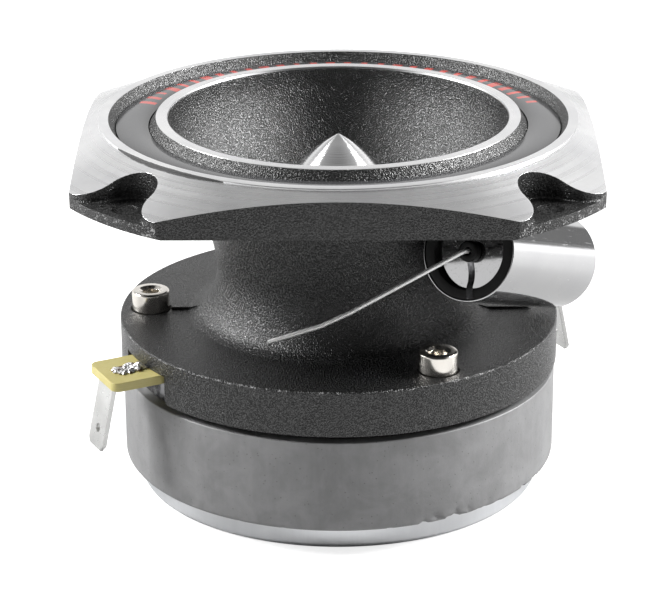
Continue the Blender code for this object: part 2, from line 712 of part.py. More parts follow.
def terminal_fittings(side, empty):
    """Rivet through tab and blade, ribbon from the coil, and the solder over the joint."""
    foot_bottom = CARRIER_TOP_Z - CARRIER_THICKNESS - THIN_GAP - BLADE_THICKNESS
    head = foot_bottom - GAP
    rivet = [(0.0, CARRIER_TOP_Z), (RIVET_RADIUS, CARRIER_TOP_Z), (RIVET_RADIUS, head)]
    rivet += [(1.9 * MM, head), (1.5 * MM, head - 0.5 * MM), (0.0, head - 0.6 * MM)]
    piece = turned(f"terminal_rivet_{side}", rivet, tinned_brass(), empty, steps=16)
    piece.location = (RIVET_DISTANCE, RIVET_SIDE_SHIFT, 0.0)
    copper = material("copper", (0.8, 0.42, 0.25), 0.3, 1.0)
    floor = CARRIER_TOP_Z - 0.4 * MM + THIN_GAP
    low = (23.6 * MM, -0.8 * MM, floor)
    box(f"lead_ribbon_{side}", low, (40.2 * MM, 0.8 * MM, floor + FOIL), copper, empty)
    solder(side, empty)


def solder(side, empty):
    """A low lump of solder, longer along the tab than across it."""
    work = bmesh.new()
    bmesh.ops.create_uvsphere(work, u_segments=16, v_segments=10, radius=1.0)
    bmesh.ops.scale(work, vec=(3.1 * MM, 2.0 * MM, 1.3 * MM), verts=work.verts)
    flat = CARRIER_TOP_Z + THIN_GAP
    middle = (RIVET_DISTANCE, RIVET_SIDE_SHIFT, flat)
    bmesh.ops.translate(work, vec=middle, verts=work.verts)
    geometry = work.verts[:] + work.edges[:] + work.faces[:]
    cut = bmesh.ops.bisect_plane(
        work, geom=geometry, plane_co=middle, plane_no=(0.0, 0.0, -1.0), clear_outer=True
    )
    rim = [item for item in cut["geom_cut"] if isinstance(item, bmesh.types.BMEdge)]
    bmesh.ops.edgeloop_fill(work, edges=rim)
    bmesh.ops.recalc_face_normals(work, faces=work.faces)
    mesh = bpy.data.meshes.new(f"solder_{side}")
    work.to_mesh(mesh)
    work.free()
    smooth(mesh)
    add(f"solder_{side}", mesh, material("solder", (0.7, 0.7, 0.7), 0.35, 1.0), empty)


def terminals():
    for side, angle in TAB_ANGLES_DEG.items():
        empty = terminal_parent(side, angle)
        terminal_blade(side, empty)
        terminal_fittings(side, empty)


def capacitor_axis():
    """Direction from the capacitor's front end to its rear end."""
    azimuth, droop = math.radians(CAPACITOR_AZIMUTH_DEG), math.radians(CAPACITOR_DROOP_DEG)
    level = math.cos(droop)
    return Vector((math.sin(azimuth) * level, math.cos(azimuth) * level, -math.sin(droop)))


def capacitor_parent():
    """An empty at the front end's centre, whose +Z points out of that end."""
    empty = bpy.data.objects.new("capacitor", None)
    PARTS.objects.link(empty)
    empty.location = CAPACITOR_FRONT
    empty.rotation_euler = (-capacitor_axis()).to_track_quat("Z", "Y").to_euler()
    return empty


def capacitor():
    """Can, end seal, recessed end disc, grommet, foil strip and winding."""
    empty = capacitor_parent()
    radius, length, wall = CAPACITOR_RADIUS, CAPACITOR_LENGTH, 0.5 * MM
    bright = material("bright_can", (0.9, 0.9, 0.91), 0.08, 1.0)
    can = [
        (0.0, -length + 2 * wall),
        (radius - wall, -length + 2 * wall),
        (radius - wall, 0.0),
        (radius - 0.2 * MM, 0.0),
        (radius, -0.2 * MM),
        (radius, -length + 0.6 * MM),
        (radius - 0.2 * MM, -length + 0.2 * MM),
        (radius - 0.6 * MM, -length),
        (0.0, -length),
    ]
    turned("capacitor_can", can, bright, empty, steps=MEDIUM_ROUND)
    seal = [
        (0.0, -END_DISC_DEPTH - 0.6 * MM),
        (END_DISC_RADIUS + THIN_GAP, -END_DISC_DEPTH - 0.6 * MM),
        (END_DISC_RADIUS + THIN_GAP, -0.15 * MM),
        (radius - wall - THIN_GAP, -0.15 * MM),
        (radius - wall - THIN_GAP, -5 * MM),
        (0.0, -5 * MM),
    ]
    turned("capacitor_seal", seal, black_rubber(), empty, steps=MEDIUM_ROUND)
    top = -END_DISC_DEPTH
    disc("capacitor_end_disc", END_DISC_RADIUS, top - 0.5 * MM, top, bright, empty, steps=MEDIUM_ROUND)
    tube_ring("capacitor_grommet", 0.7 * MM, 1.9 * MM, top + THIN_GAP, 0.3 * MM, black_rubber(), empty, 24)
    winding = material("wound_foil", (0.7, 0.68, 0.6), 0.5)
    disc("capacitor_winding", 7.6 * MM, -length + 3 * wall, -5.4 * MM, winding, empty, steps=SMALL_ROUND)
    return empty


def foil_strip(empty):
    """The strip that runs from the grommet over the end seal to the can's rim."""
    lower = ((2.1, -1.3), (5.3, -1.3), (6.1, 0.1), (8.2, 0.1))
    upper = ((8.2, 0.3), (6.0, 0.3), (5.2, -1.1), (2.1, -1.1))
    outline = [(x * MM, z * MM) for x, z in lower + upper]
    strip = outline_plate("capacitor_foil_strip", outline, -0.5 * MM, 0.5 * MM, dark_steel(), empty)
    strip.data.transform(Matrix.Rotation(math.radians(90), 4, "X"))
    strip.rotation_euler = (0.0, 0.0, math.radians(FOIL_STRIP_DEG))


def rounded_path(corners, radius, steps=5):
    """A path through the corners whose inner bends are arcs, as quadratic blends."""
    path = [corners[0]]
    for before, corner, after in zip(corners, corners[1:], corners[2:]):
        start = corner + (before - corner).normalized() * radius
        end = corner + (after - corner).normalized() * radius
        for i in range(steps + 1):
            t = i / steps
            path.append(start.lerp(corner, t).lerp(corner.lerp(end, t), t))
    path.append(corners[-1])
    return path


def capacitor_leads():
    """The free lead that crosses in front of the neck, and the one to the right terminal."""
    axis = capacitor_axis()
    front = CAPACITOR_FRONT
    corners = [front + axis * 1.2 * MM, front - axis * 1.3 * MM]
    bends = ((1.9, -28.6, 41.3), (-3.0, -28.6, 38.9), (-12.3, -28.6, 35.9))
    corners += [Vector(place) * MM for place in bends]
    wire("capacitor_free_lead", rounded_path(corners, 0.9 * MM), LEAD_RADIUS, tinned_brass())
    rear = front + axis * (CAPACITOR_LENGTH + THIN_GAP)
    along = RIVET_DISTANCE + 1.5 * MM
    joint = tab_place(along, RIVET_SIDE_SHIFT, TAB_ANGLES_DEG["right"], CARRIER_TOP_Z + 2.4 * MM)
    above = joint + Vector((0.5, -1.0, 4.0)) * MM
    corners = [rear, rear + axis * 3 * MM, above, joint]
    wire("capacitor_rear_lead", rounded_path(corners, 1.2 * MM), LEAD_RADIUS, tinned_brass())


def capacitor_adhesive():
    """A bead in the wedge between the neck and the can, under the flange."""
    look = material("hot_melt", (0.75, 0.68, 0.5), 0.5)
    axis = capacitor_axis()
    nearest = CAPACITOR_FRONT + axis * 9 * MM
    inward = Vector((-nearest.x, -nearest.y, 0.0)).normalized()
    bead = box("capacitor_adhesive", (-3.5 * MM, -2.5 * MM, 0.0), (3.5 * MM, 2.5 * MM, 4.0 * MM), look)
    bead.location = nearest + inward * 5.0 * MM + Vector((0.0, 0.0, 6.8 * MM))
    bead.rotation_euler = (0.0, 0.0, math.atan2(inward.x, -inward.y))
    margin = 0.25 * MM
    neck = [(radius + margin, z) for radius, z in neck_profile()]
    neck = [(0.0, neck[0][1])] + neck + [(0.0, neck[-1][1])]
    boolean(bead, turned("cut_bead_neck", neck))
    can = disc("cut_bead_can", CAPACITOR_RADIUS + margin, -CAPACITOR_LENGTH, 0.0, steps=MEDIUM_ROUND)
    can.location = CAPACITOR_FRONT
    can.rotation_euler = (-axis).to_track_quat("Z", "Y").to_euler()
    boolean(bead, can)


def bake_parts():
    """Gives each part the mesh that its modifiers make, shaded smooth up to its sharp edges."""
    bpy.context.view_layer.update()
    graph = bpy.context.evaluated_depsgraph_get()
    shaped = [obj for obj in PARTS.objects if obj.modifiers]
    meshes = [bpy.data.meshes.new_from_object(obj.evaluated_get(graph)) for obj in shaped]
    for obj, mesh in zip(shaped, meshes):
        obj.modifiers.clear()
        obj.data = mesh
        smooth(mesh)


def main():
    travel = bpy.data.objects.new("diaphragm_travel", None)
    PARTS.objects.link(travel)
    horn_casting()
    trim_ring()
    phase_plug()
    clamp_screws()
    motor()
    diaphragm(travel)
    diaphragm_carrier()
    terminals()
    foil_strip(capacitor())
    capacitor_leads()
    capacitor_adhesive()
    bake_parts()


main()
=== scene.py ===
"""Looks of the car tweeter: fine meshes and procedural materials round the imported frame."""

import math

import bmesh
import bpy
from mathutils import Matrix, Vector, noise


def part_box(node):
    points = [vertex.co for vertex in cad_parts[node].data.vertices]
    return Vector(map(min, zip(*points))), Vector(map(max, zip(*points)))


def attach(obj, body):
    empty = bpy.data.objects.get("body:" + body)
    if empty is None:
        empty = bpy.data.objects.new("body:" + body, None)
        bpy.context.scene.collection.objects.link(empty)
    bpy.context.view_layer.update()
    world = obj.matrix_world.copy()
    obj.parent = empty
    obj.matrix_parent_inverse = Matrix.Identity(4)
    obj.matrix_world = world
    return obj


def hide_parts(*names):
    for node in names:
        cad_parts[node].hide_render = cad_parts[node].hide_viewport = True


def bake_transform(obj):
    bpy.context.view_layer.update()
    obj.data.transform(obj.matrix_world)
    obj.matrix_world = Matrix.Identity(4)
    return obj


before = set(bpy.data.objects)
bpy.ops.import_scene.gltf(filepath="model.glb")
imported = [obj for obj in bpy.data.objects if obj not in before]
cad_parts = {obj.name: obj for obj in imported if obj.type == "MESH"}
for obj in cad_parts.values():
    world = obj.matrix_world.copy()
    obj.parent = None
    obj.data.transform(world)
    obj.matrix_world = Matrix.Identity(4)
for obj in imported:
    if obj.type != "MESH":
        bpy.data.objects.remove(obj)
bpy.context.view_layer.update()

MM = 0.001
FINE = 192
MEDIUM = 96
SMOOTH_ANGLE = math.radians(32)


def heights(node):
    """The heights of a node's bottom and top, in millimetres."""
    return [corner[2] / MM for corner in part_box(node)]


# Driving sizes in millimetres, from the frame where a node's box gives them
FLANGE_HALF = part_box("horn_casting")[1][0] / MM
BASE_BOTTOM, LIP_TOP = heights("horn_casting")
BASE_TOP, BASE_RADIUS, SKIRT_INNER = 31.33, 40.6, 38.8
NECK_FOOT_RADIUS, THROAT_RADIUS, THROAT_LOW = 28.2, 13.0, 35.0
RECESS_RADIUS, SEAT_RADIUS, CHAMBER_RADIUS = 31.9, 23.3, 21.4
HUB_RADIUS, HUB_LOW, HUB_HIGH = 6.4, 34.7, 39.0
BRIDGE_ARMS = 3
FLANGE_UNDERSIDE, FLANGE_SEAT_INNER = 61.08, 42.0
BLANK_RADIUS = 55.0
LIP_INNER, LIP_OUTER = 41.58, 43.36
LIP_STEP = 0.41
CONE_SLOPE = 0.385
GROOVE_FLOOR = 67.2
GROOVE_OUTER, GROOVE_INNER = 40.3, 34.3
RING_OUTER, MOUTH_RADIUS = 33.0, 30.94
POCKET_FLOOR = 63.1
POCKET_CENTRE, POCKET_RADIUS = 50.1, 5.1
FLARE_CENTRE, FLARE_RADIUS = (49.1, 10.05), 5.0
MOUNT_HOLE_PLACE, MOUNT_HOLE_RADIUS = 36.0 * math.sqrt(2), 2.25
SCREW_CIRCLE = 35.0
SCREW_ANGLES = (60.0, 180.0, 300.0)
SCREW_END, SCREW_TOP = heights("clamp_screw_1")
HEAD_RADIUS, HEAD_HEIGHT, SHANK_RADIUS = 3.5, 4.0, 1.95
SOCKET_CORNER, SOCKET_DEPTH = 1.732, 2.2
SPOTFACE_FLOOR, CLAMP_HOLE_RADIUS = SCREW_TOP - 4.15, 2.25
CLEARANCE = 0.1
CARRIER_BOTTOM, CARRIER_TOP = heights("diaphragm_carrier")
CARRIER_RADIUS, CARRIER_HOLE = 31.5, 21.2
TAB_ANGLES = {"left": 207.5, "right": 27.5}
TAB_OFFSET = 2.2
TAB_WIDTH, TAB_END = 11.6, 48.8
RIVET_PLACE, RIVET_SHIFT, RIVET_RADIUS, RIVET_HOLE = 43.8, 0.5, 1.0, 1.2
BLADE_THICKNESS, BLADE_WIDTH, BLADE_SHIFT = 0.8, 6.3, -0.8
BLADE_BEND_PLACE, BLADE_TIP_PLACE, BLADE_TIP = 47.5, 50.3, 14.0
PLATE_BOTTOM, PLATE_TOP = heights("top_plate")
PLATE_RADIUS, PLATE_HOLE = 38.5, 18.45
MAGNET_BOTTOM, MAGNET_TOP = heights("magnet_ring")
MAGNET_RADIUS, MAGNET_HOLE = 40.3, 20.5
BACK_TOP, BACK_RADIUS, POLE_RADIUS = heights("back_plate")[1], 37.5, 16.7
DOME_RIM, DOME_RADIUS, DOME_HEIGHT, DOME_EDGE = 28.05, 17.1, 4.6, 18.4
FORMER_RADIUS, COIL_INNER, COIL_OUTER, COIL_TURNS = 17.1, 17.4, 17.88, 20
SURROUND_LOW, SURROUND_INNER, SURROUND_OUTER, ROLL_PLACE = 28.3, 17.6, 23.0, 19.9
FOIL = 0.15
CAP_FRONT = Vector((22.6, -27.0, 52.25))
CAP_AZIMUTH, CAP_DROOP = 32.0, 20.0
CAP_LENGTH, CAP_RADIUS = 34.8, 8.85
STRIP_ANGLE = -75.0
LEAD_RADIUS = 0.42

# Where the paint is left along the lip, as the degrees to turn it round to +X
PAINT_LEFT_ANGLE = 134.0

# The camera: millimetres, degrees, and the focal length on a 36 mm sensor
CAMERA_PLACE = Vector((1.83, -444.25, 203.68))
CAMERA_PITCH, CAMERA_YAW, CAMERA_ROLL = 21.1485, -0.3395, -0.208
CAMERA_LENS = 137.45

DRIVER, DIAPHRAGM = "driver", "diaphragm"
CUT, JOIN, KEEP = "DIFFERENCE", "UNION", "INTERSECT"
STANDING = Matrix.Rotation(math.radians(90), 4, "X")


# ---- node graphs


class Graph:
    """A node tree, with short calls for the nodes that this scene uses."""

    def __init__(self, tree):
        self.tree = tree

    def node(self, kind, inputs=None, **settings):
        made = self.tree.nodes.new("ShaderNode" + kind)
        for key, value in settings.items():
            setattr(made, key, value)
        for key, value in (inputs or {}).items():
            self.feed(made.inputs[key], value)
        return made

    def feed(self, socket, value):
        if isinstance(value, bpy.types.NodeSocket):
            self.tree.links.new(value, socket)
        else:
            socket.default_value = value

    def math(self, operation, a, b=0.0):
        return self.node("Math", {0: a, 1: b}, operation=operation).outputs[0]

    def plus(self, a, b):
        return self.math("ADD", a, b)

    def minus(self, a, b):
        return self.math("SUBTRACT", a, b)

    def times(self, a, b):
        return self.math("MULTIPLY", a, b)

    def larger(self, a, b):
        return self.math("MAXIMUM", a, b)

    def steps(self, value, low, high, start=0.0, end=1.0):
        """start up to low, end from high on, and smooth between."""
        inputs = {"Value": value, "From Min": low, "From Max": high, "To Min": start, "To Max": end}
        return self.node("MapRange", inputs, interpolation_type="SMOOTHSTEP").outputs[0]


class Shader(Graph):
    """A material's graph, read in the object's own coordinates."""

    def __init__(self, name):
        self.material = bpy.data.materials.new(name)
        self.material.use_nodes = True
        super().__init__(self.material.node_tree)
        self.bsdf = self.tree.nodes["Principled BSDF"]
        self.place = self.node("TexCoord").outputs["Object"]

    def set(self, **inputs):
        for key, value in inputs.items():
            self.feed(self.bsdf.inputs[key.replace("_", " ")], value)

    def scaled(self, x, y, z):
        return self.node("Mapping", {"Vector": self.place, "Scale": (x, y, z)}).outputs[0]

    def noise(self, scale, detail=2.0, rough=0.5, vector=None, distortion=0.0):
        inputs = {"Vector": vector or self.place, "Scale": scale, "Detail": detail, "Roughness": rough}
        return self.node("TexNoise", inputs | {"Distortion": distortion}).outputs["Fac"]

    def cells(self, scale):
        return self.node("TexVoronoi", {"Vector": self.place, "Scale": scale}).outputs["Distance"]

    def line_noise(self, value, scale, detail=2.0):
        inputs = {"W": value, "Scale": scale, "Detail": detail}
        return self.node("TexNoise", inputs, noise_dimensions="1D").outputs["Fac"]

    def random(self, value):
        return self.node("TexWhiteNoise", {"W": value}, noise_dimensions="1D").outputs["Value"]

    def range(self, value, low, high):
        return self.node("MapRange", {"Value": value, "To Min": low, "To Max": high}).outputs[0]

    def blend(self, factor, a, b):
        a, b = (value if isinstance(value, bpy.types.NodeSocket) else (*value, 1.0) for value in (a, b))
        return self.node("Mix", {0: factor, 6: a, 7: b}, data_type="RGBA").outputs[2]

    def mix(self, factor, a, b):
        return self.node("Mix", {0: factor, 2: a, 3: b}, data_type="FLOAT").outputs[0]

    def bump(self, height, distance, strength=1.0, normal=None):
        inputs = {"Distance": distance, "Strength": strength, "Height": height}
        if normal:
            inputs["Normal"] = normal
        return self.node("Bump", inputs).outputs[0]

    def round_edges(self, radius):
        return self.node("Bevel", {"Radius": radius}, samples=4).outputs[0]

    def split(self):
        return self.node("SeparateXYZ", {0: self.place}).outputs

    def radius(self):
        """Distance from the object's Z axis."""
        x, y, _ = self.split()
        return self.math("SQRT", self.plus(self.times(x, x), self.times(y, y)))

    def angle(self):
        x, y, _ = self.split()
        return self.math("ARCTAN2", y, x)

    def height(self):
        return self.split()[2]

    def ring_tangent(self):
        return self.node("Tangent", direction_type="RADIAL", axis="Z").outputs[0]


# ---- looks

LOOKS = {}


def look(wire):
    """Keeps a material of the function's name, whose nodes the function wires."""
    shader = Shader(wire.__name__)
    wire(shader)
    LOOKS[wire.__name__] = shader.material
    return wire


def even_look(name, colour, gloss, relief, edges=0.0, **inputs):
    """A look from three noises: one each for its colour, its roughness and its relief."""
    s = Shader(name)
    (tint, dark, light), (sheen, low, high), (grain, depth, strength) = colour, gloss, relief
    s.set(
        Base_Color=s.blend(s.noise(*tint), dark, light),
        Roughness=s.range(s.noise(*sheen), low, high),
        Normal=s.bump(s.noise(*grain), depth, strength, s.round_edges(edges) if edges else None),
        **inputs,
    )
    LOOKS[name] = s.material


def textured_paint(s, matt, specular):
    """Black textured paint: hard pebbles that sparkle, over a slow unevenness."""
    grains = s.noise(3700.0, 1.0, 0.5)
    relief = s.plus(grains, s.times(s.noise(8500.0, 0.0), 0.3))
    tops = s.steps(grains, 0.42, 0.6)
    uneven = s.times(s.noise(160.0, 3.0), 0.1)
    s.set(
        Base_Color=s.blend(tops, (0.002,) * 3, (0.028,) * 3),
        Roughness=s.plus(s.mix(tops, matt + 0.14, matt), uneven),
        Specular_IOR_Level=s.mix(tops, specular * 0.6, specular),
        Normal=s.bump(relief, 0.00017, 1.0, s.round_edges(0.0002)),
    )


@look
def powder_coat(s):
    textured_paint(s, 0.18, 0.8)


@look
def shaded_underside_coat(s):
    """The powder coat under the flange, made matt and hardly reflecting: painted shade for the dark underside."""
    textured_paint(s, 0.7, 0.1)


@look
def worn_and_glinting_edge(s):
    """Bright specks on an edge of the powder coat: rubbed-through metal, and painted highlight where the edge catches
    the lamps.
    """
    grains = s.noise(3600.0, 1.0, 0.5)
    patches = s.noise(700.0, 3.0, 0.6)
    # Specks of bare metal that also stand as painted highlight
    bare_and_glint = s.steps(s.plus(s.times(patches, 0.55), s.times(grains, 0.45)), 0.55, 0.62)
    s.set(
        Base_Color=s.blend(bare_and_glint, (0.012,) * 3, (0.34,) * 3),
        Roughness=s.mix(bare_and_glint, 0.32, 0.45),
        Normal=s.bump(grains, 0.0003, 1.0, s.round_edges(0.0002)),
    )


@look
def machined_face(s):
    """Turned aluminium: rings, a hair of colour change, and paint left along the lip's step."""
    radius = s.radius()
    rings = s.line_noise(radius, 9000.0, 3.0)
    broad = s.line_noise(radius, 900.0, 2.0)
    patches = s.noise(90.0, 4.0, 0.6)
    metal = s.blend(s.steps(patches, 0.3, 0.7), (0.80, 0.80, 0.81), (0.93,) * 3)
    away = s.math("ABSOLUTE", s.minus(radius, LIP_OUTER * MM))
    turned = s.math("ABSOLUTE", s.plus(s.angle(), math.radians(PAINT_LEFT_ANGLE)))
    reach = s.times(s.minus(1.0, s.steps(turned, 0.12, 0.32)), 0.00042)
    ragged = s.times(reach, s.range(s.noise(500.0, 3.0, 0.6), 0.2, 1.6))
    paint = s.math("LESS_THAN", away, ragged)
    s.set(
        Base_Color=s.blend(paint, metal, (0.03,) * 3),
        Metallic=s.minus(1.0, paint),
        Roughness=s.mix(paint, s.range(broad, 0.24, 0.32), 0.7),
        Anisotropic=0.6,
        Anisotropic_Rotation=0.25,
        Tangent=s.ring_tangent(),
        Normal=s.bump(rings, 0.000004, 0.5, s.round_edges(0.00012)),
    )


@look
def turned_plug(s):
    """Turned aluminium with coarser feed marks than the flange has."""
    height = s.height()
    marks = s.line_noise(height, 5200.0, 2.0)
    bands = s.line_noise(height, 700.0, 3.0)
    s.set(
        Base_Color=s.blend(bands, (0.78, 0.78, 0.79), (0.95,) * 3),
        Metallic=1.0,
        Roughness=s.range(marks, 0.12, 0.24),
        Anisotropic=0.9,
        Anisotropic_Rotation=0.25,
        Tangent=s.ring_tangent(),
        Normal=s.bump(marks, 0.00003, 0.6),
    )


@look
def label_film(s):
    """Smooth dark label with a ring of generic red index marks on its rear half."""
    radius, angle = s.radius(), s.angle()
    cell = s.math("DIVIDE", s.plus(angle, math.pi), math.radians(5.0))
    index = s.math("FLOOR", cell)
    off_middle = s.math("ABSOLUTE", s.minus(s.math("FRACT", cell), 0.5))
    bar = s.math("LESS_THAN", off_middle, s.times(s.range(s.random(index), 0.28, 0.62), 0.5))
    inner = s.range(s.random(s.plus(index, 31.7)), 35.2 * MM, 36.6 * MM)
    band = s.times(s.math("GREATER_THAN", radius, inner), s.math("LESS_THAN", radius, 38.6 * MM))
    after = s.math("GREATER_THAN", angle, math.radians(16))
    rear = s.times(after, s.math("LESS_THAN", angle, math.radians(164)))
    worn = s.range(s.noise(420.0, 3.0), 0.35, 1.0)
    mark = s.times(s.times(s.times(bar, band), rear), worn)
    base = s.blend(s.noise(60.0, 3.0), (0.03, 0.03, 0.031), (0.055, 0.055, 0.058))
    s.set(
        Base_Color=s.blend(mark, base, (0.50, 0.05, 0.035)),
        Roughness=s.range(s.noise(1500.0, 2.0), 0.1, 0.18),
        IOR=1.85,
        Normal=s.bump(s.noise(260.0, 2.0), 0.00001, 0.3),
    )


@look
def ferrite(s):
    """Ground ferrite: matt grey with mottling, pores and faint vertical grinding marks."""
    mottled = s.noise(130.0, 5.0, 0.65, distortion=0.4)
    pores = s.steps(s.cells(900.0), 0.03, 0.16)
    streak = s.noise(1.0, 3.0, 0.6, vector=s.scaled(900.0, 900.0, 60.0))
    tone = s.plus(s.times(mottled, 0.85), s.times(streak, 0.15))
    ground = s.blend(s.steps(tone, 0.3, 0.7), (0.18, 0.18, 0.182), (0.25, 0.25, 0.253))
    s.set(
        Base_Color=s.blend(pores, (0.12,) * 3, ground),
        Roughness=s.range(mottled, 0.36, 0.5),
        Normal=s.bump(s.plus(pores, s.noise(2600.0, 3.0)), 0.00004, 0.5),
    )


@look
def zinc_plate(s):
    """Bright zinc with slow clouds and short vertical streaks."""
    cloud = s.noise(110.0, 4.0, 0.6)
    streak = s.noise(1.0, 4.0, 0.6, vector=s.scaled(420.0, 420.0, 40.0))
    s.set(
        Base_Color=s.blend(s.times(cloud, streak), (0.66, 0.67, 0.69), (0.94, 0.95, 0.96)),
        Metallic=1.0,
        Roughness=s.range(streak, 0.2, 0.5),
        Normal=s.bump(s.noise(1300.0, 4.0), 0.00003, 0.5),
    )


@look
def dark_steel(s):
    """Black-passivated steel with worn, lighter patches."""
    worn = s.steps(s.noise(220.0, 5.0, 0.65), 0.45, 0.62)
    s.set(
        Base_Color=s.blend(worn, (0.05, 0.05, 0.052), (0.3, 0.3, 0.31)),
        Metallic=1.0,
        Roughness=s.mix(worn, 0.5, 0.35),
        Normal=s.bump(s.noise(1800.0, 4.0), 0.00003, 0.5),
    )


@look
def solder_metal(s):
    """Solder with dull and bright patches, and brown flux in its hollows."""
    patch = s.noise(900.0, 4.0, 0.65)
    low = s.minus(1.0, s.steps(s.height(), 0.0285, 0.0291))
    flux = s.steps(s.plus(s.noise(700.0, 3.0, 0.6), s.times(low, 0.12)), 0.6, 0.68)
    metal = s.blend(patch, (0.85, 0.85, 0.84), (1.0, 1.0, 0.99))
    s.set(
        Base_Color=s.blend(flux, metal, (0.12, 0.07, 0.04)),
        Metallic=s.minus(1.0, flux),
        Roughness=s.range(patch, 0.35, 0.6),
        Normal=s.bump(s.noise(900.0, 3.0), 0.00005, 0.6),
    )


@look
def glass_fibre(s):
    """Olive-yellow laminate: a faint weave on the faces and thin layers along the edges."""
    layers = s.line_noise(s.height(), 9000.0, 1.0)
    weave = s.cells(1900.0)
    resin = s.blend(s.noise(120.0, 4.0, 0.6), (0.42, 0.36, 0.10), (0.60, 0.53, 0.22))
    s.set(
        Base_Color=s.blend(s.times(layers, 0.3), resin, (0.72, 0.66, 0.36)),
        Roughness=s.range(weave, 0.32, 0.5),
        Subsurface_Weight=0.08,
        Subsurface_Radius=(0.001, 0.0008, 0.0003),
        Normal=s.bump(weave, 0.00003, 0.4, s.round_edges(0.00015)),
    )


@look
def mirror_can(s):
    """Drawn aluminium can: near mirror, with fine scuffs along it."""
    scuff = s.steps(s.noise(1.0, 4.0, 0.7, vector=s.scaled(2600.0, 2600.0, 260.0)), 0.56, 0.72)
    s.set(
        Base_Color=s.blend(s.noise(140.0, 3.0), (0.5, 0.5, 0.51), (0.59,) * 3),
        Metallic=1.0,
        Roughness=s.mix(scuff, 0.06, 0.3),
        Normal=s.bump(s.noise(330.0, 2.0), 0.00001, 0.3),
    )


@look
def titanium_foil(s):
    s.set(
        Base_Color=s.blend(s.noise(200.0, 4.0), (0.45, 0.43, 0.41), (0.68, 0.66, 0.64)),
        Metallic=1.0,
        Roughness=s.range(s.noise(1200.0, 3.0), 0.25, 0.42),
        Normal=s.bump(s.line_noise(s.radius(), 2500.0), 0.00002, 0.4),
    )


@look
def copper_winding(s):
    """Enamelled turns, one above the other."""
    turns = s.math("SINE", s.times(s.height(), 2 * math.pi / (0.18 * MM)))
    s.set(
        Base_Color=s.blend(s.noise(500.0, 3.0), (0.62, 0.26, 0.12), (0.85, 0.42, 0.22)),
        Metallic=1.0,
        Roughness=s.range(s.noise(900.0, 2.0), 0.2, 0.35),
        Normal=s.bump(turns, 0.00005, 0.8),
    )


@look
def pressed_felt(s):
    fibres = s.noise(2400.0, 6.0, 0.75, distortion=1.5)
    s.set(
        Base_Color=s.blend(fibres, (0.10, 0.095, 0.09), (0.34, 0.33, 0.31)),
        Roughness=s.range(fibres, 0.85, 1.0),
        Sheen_Weight=0.4,
        Normal=s.bump(fibres, 0.0002, 0.9),
    )


@look
def wound_paper(s):
    wraps = s.line_noise(s.radius(), 9000.0, 3.0)
    s.set(
        Base_Color=s.blend(wraps, (0.5, 0.46, 0.36), (0.78, 0.76, 0.7)),
        Roughness=s.range(s.noise(900.0, 3.0), 0.5, 0.7),
        Normal=s.bump(wraps, 0.00004, 0.6),
    )


@look
def studio_floor(s):
    """A pale floor, seen by the camera as nearly white and by the object as greyer near it: painted shade round the
    object.
    """
    seen = s.node("LightPath").outputs["Is Camera Ray"]
    # Painted shade: the floor is darker near the object, patchily
    far = s.steps(s.plus(s.radius(), s.noise(3.0, 2.0)), 0.5, 1.2)
    s.set(
        Base_Color=s.blend(far, (0.48,) * 3, (0.7,) * 3),
        Roughness=s.range(s.noise(40.0, 2.0), 0.5, 0.6),
        Specular_IOR_Level=0.2,
        Emission_Color=(1.0, 1.0, 1.0, 1.0),
        Emission_Strength=s.times(seen, 0.75),
    )


# Warm plated steel with handling marks
even_look(
    "nickel",
    ((320.0, 3.0, 0.6), (0.72, 0.68, 0.62), (0.92, 0.89, 0.84)),
    ((900.0, 3.0), 0.12, 0.22),
    ((700.0, 2.0), 0.00001, 0.5),
    edges=0.00015,
    Metallic=1.0,
)
# Bright tin over brass, a little uneven
even_look(
    "tin_plate",
    ((260.0, 4.0), (0.5, 0.5, 0.49), (0.76, 0.76, 0.75)),
    ((900.0, 3.0), 0.2, 0.4),
    ((1400.0, 3.0), 0.00002, 0.4),
    edges=0.0001,
    Metallic=1.0,
)
# Drawn tinned copper: a soft bright sheen
even_look(
    "tinned_wire",
    ((500.0, 3.0), (0.9, 0.9, 0.89), (1.0, 1.0, 0.99)),
    ((1500.0, 3.0), 0.45, 0.6),
    ((1800.0, 3.0), 0.00003, 0.5),
    Metallic=1.0,
)
even_look(
    "end_seal_rubber",
    ((300.0, 4.0), (0.003,) * 3, (0.009,) * 3),
    ((900.0, 3.0), 0.35, 0.55),
    ((2200.0, 3.0), 0.00003, 0.4),
    Specular_IOR_Level=0.25,
)
even_look(
    "polyimide_film",
    ((240.0, 3.0), (0.38, 0.16, 0.03), (0.56, 0.28, 0.06)),
    ((900.0, 3.0), 0.2, 0.4),
    ((1500.0, 3.0), 0.00002, 0.4),
)
even_look(
    "hot_melt_glue",
    ((260.0, 3.0), (0.62, 0.54, 0.36), (0.82, 0.76, 0.6)),
    ((700.0, 3.0), 0.25, 0.45),
    ((500.0, 3.0), 0.0001, 0.5),
    Subsurface_Weight=0.3,
    Subsurface_Radius=(0.002, 0.0015, 0.001),
)


# ---- shapes


def link(obj):
    bpy.context.scene.collection.objects.link(obj)
    return obj


def smooth(mesh):
    mesh.shade_smooth()
    mesh.set_sharp_from_angle(angle=SMOOTH_ANGLE)


def baked(obj):
    """The mesh that an object's modifiers make, with the object removed."""
    bpy.context.view_layer.update()
    graph = bpy.context.evaluated_depsgraph_get()
    mesh = bpy.data.meshes.new_from_object(obj.evaluated_get(graph))
    bpy.data.objects.remove(obj)
    return mesh


def arc(centre, radius, start, end, steps):
    angles = [math.radians(start + (end - start) * i / steps) for i in range(steps + 1)]
    return [(centre[0] + radius * math.cos(a), centre[1] + radius * math.sin(a)) for a in angles]


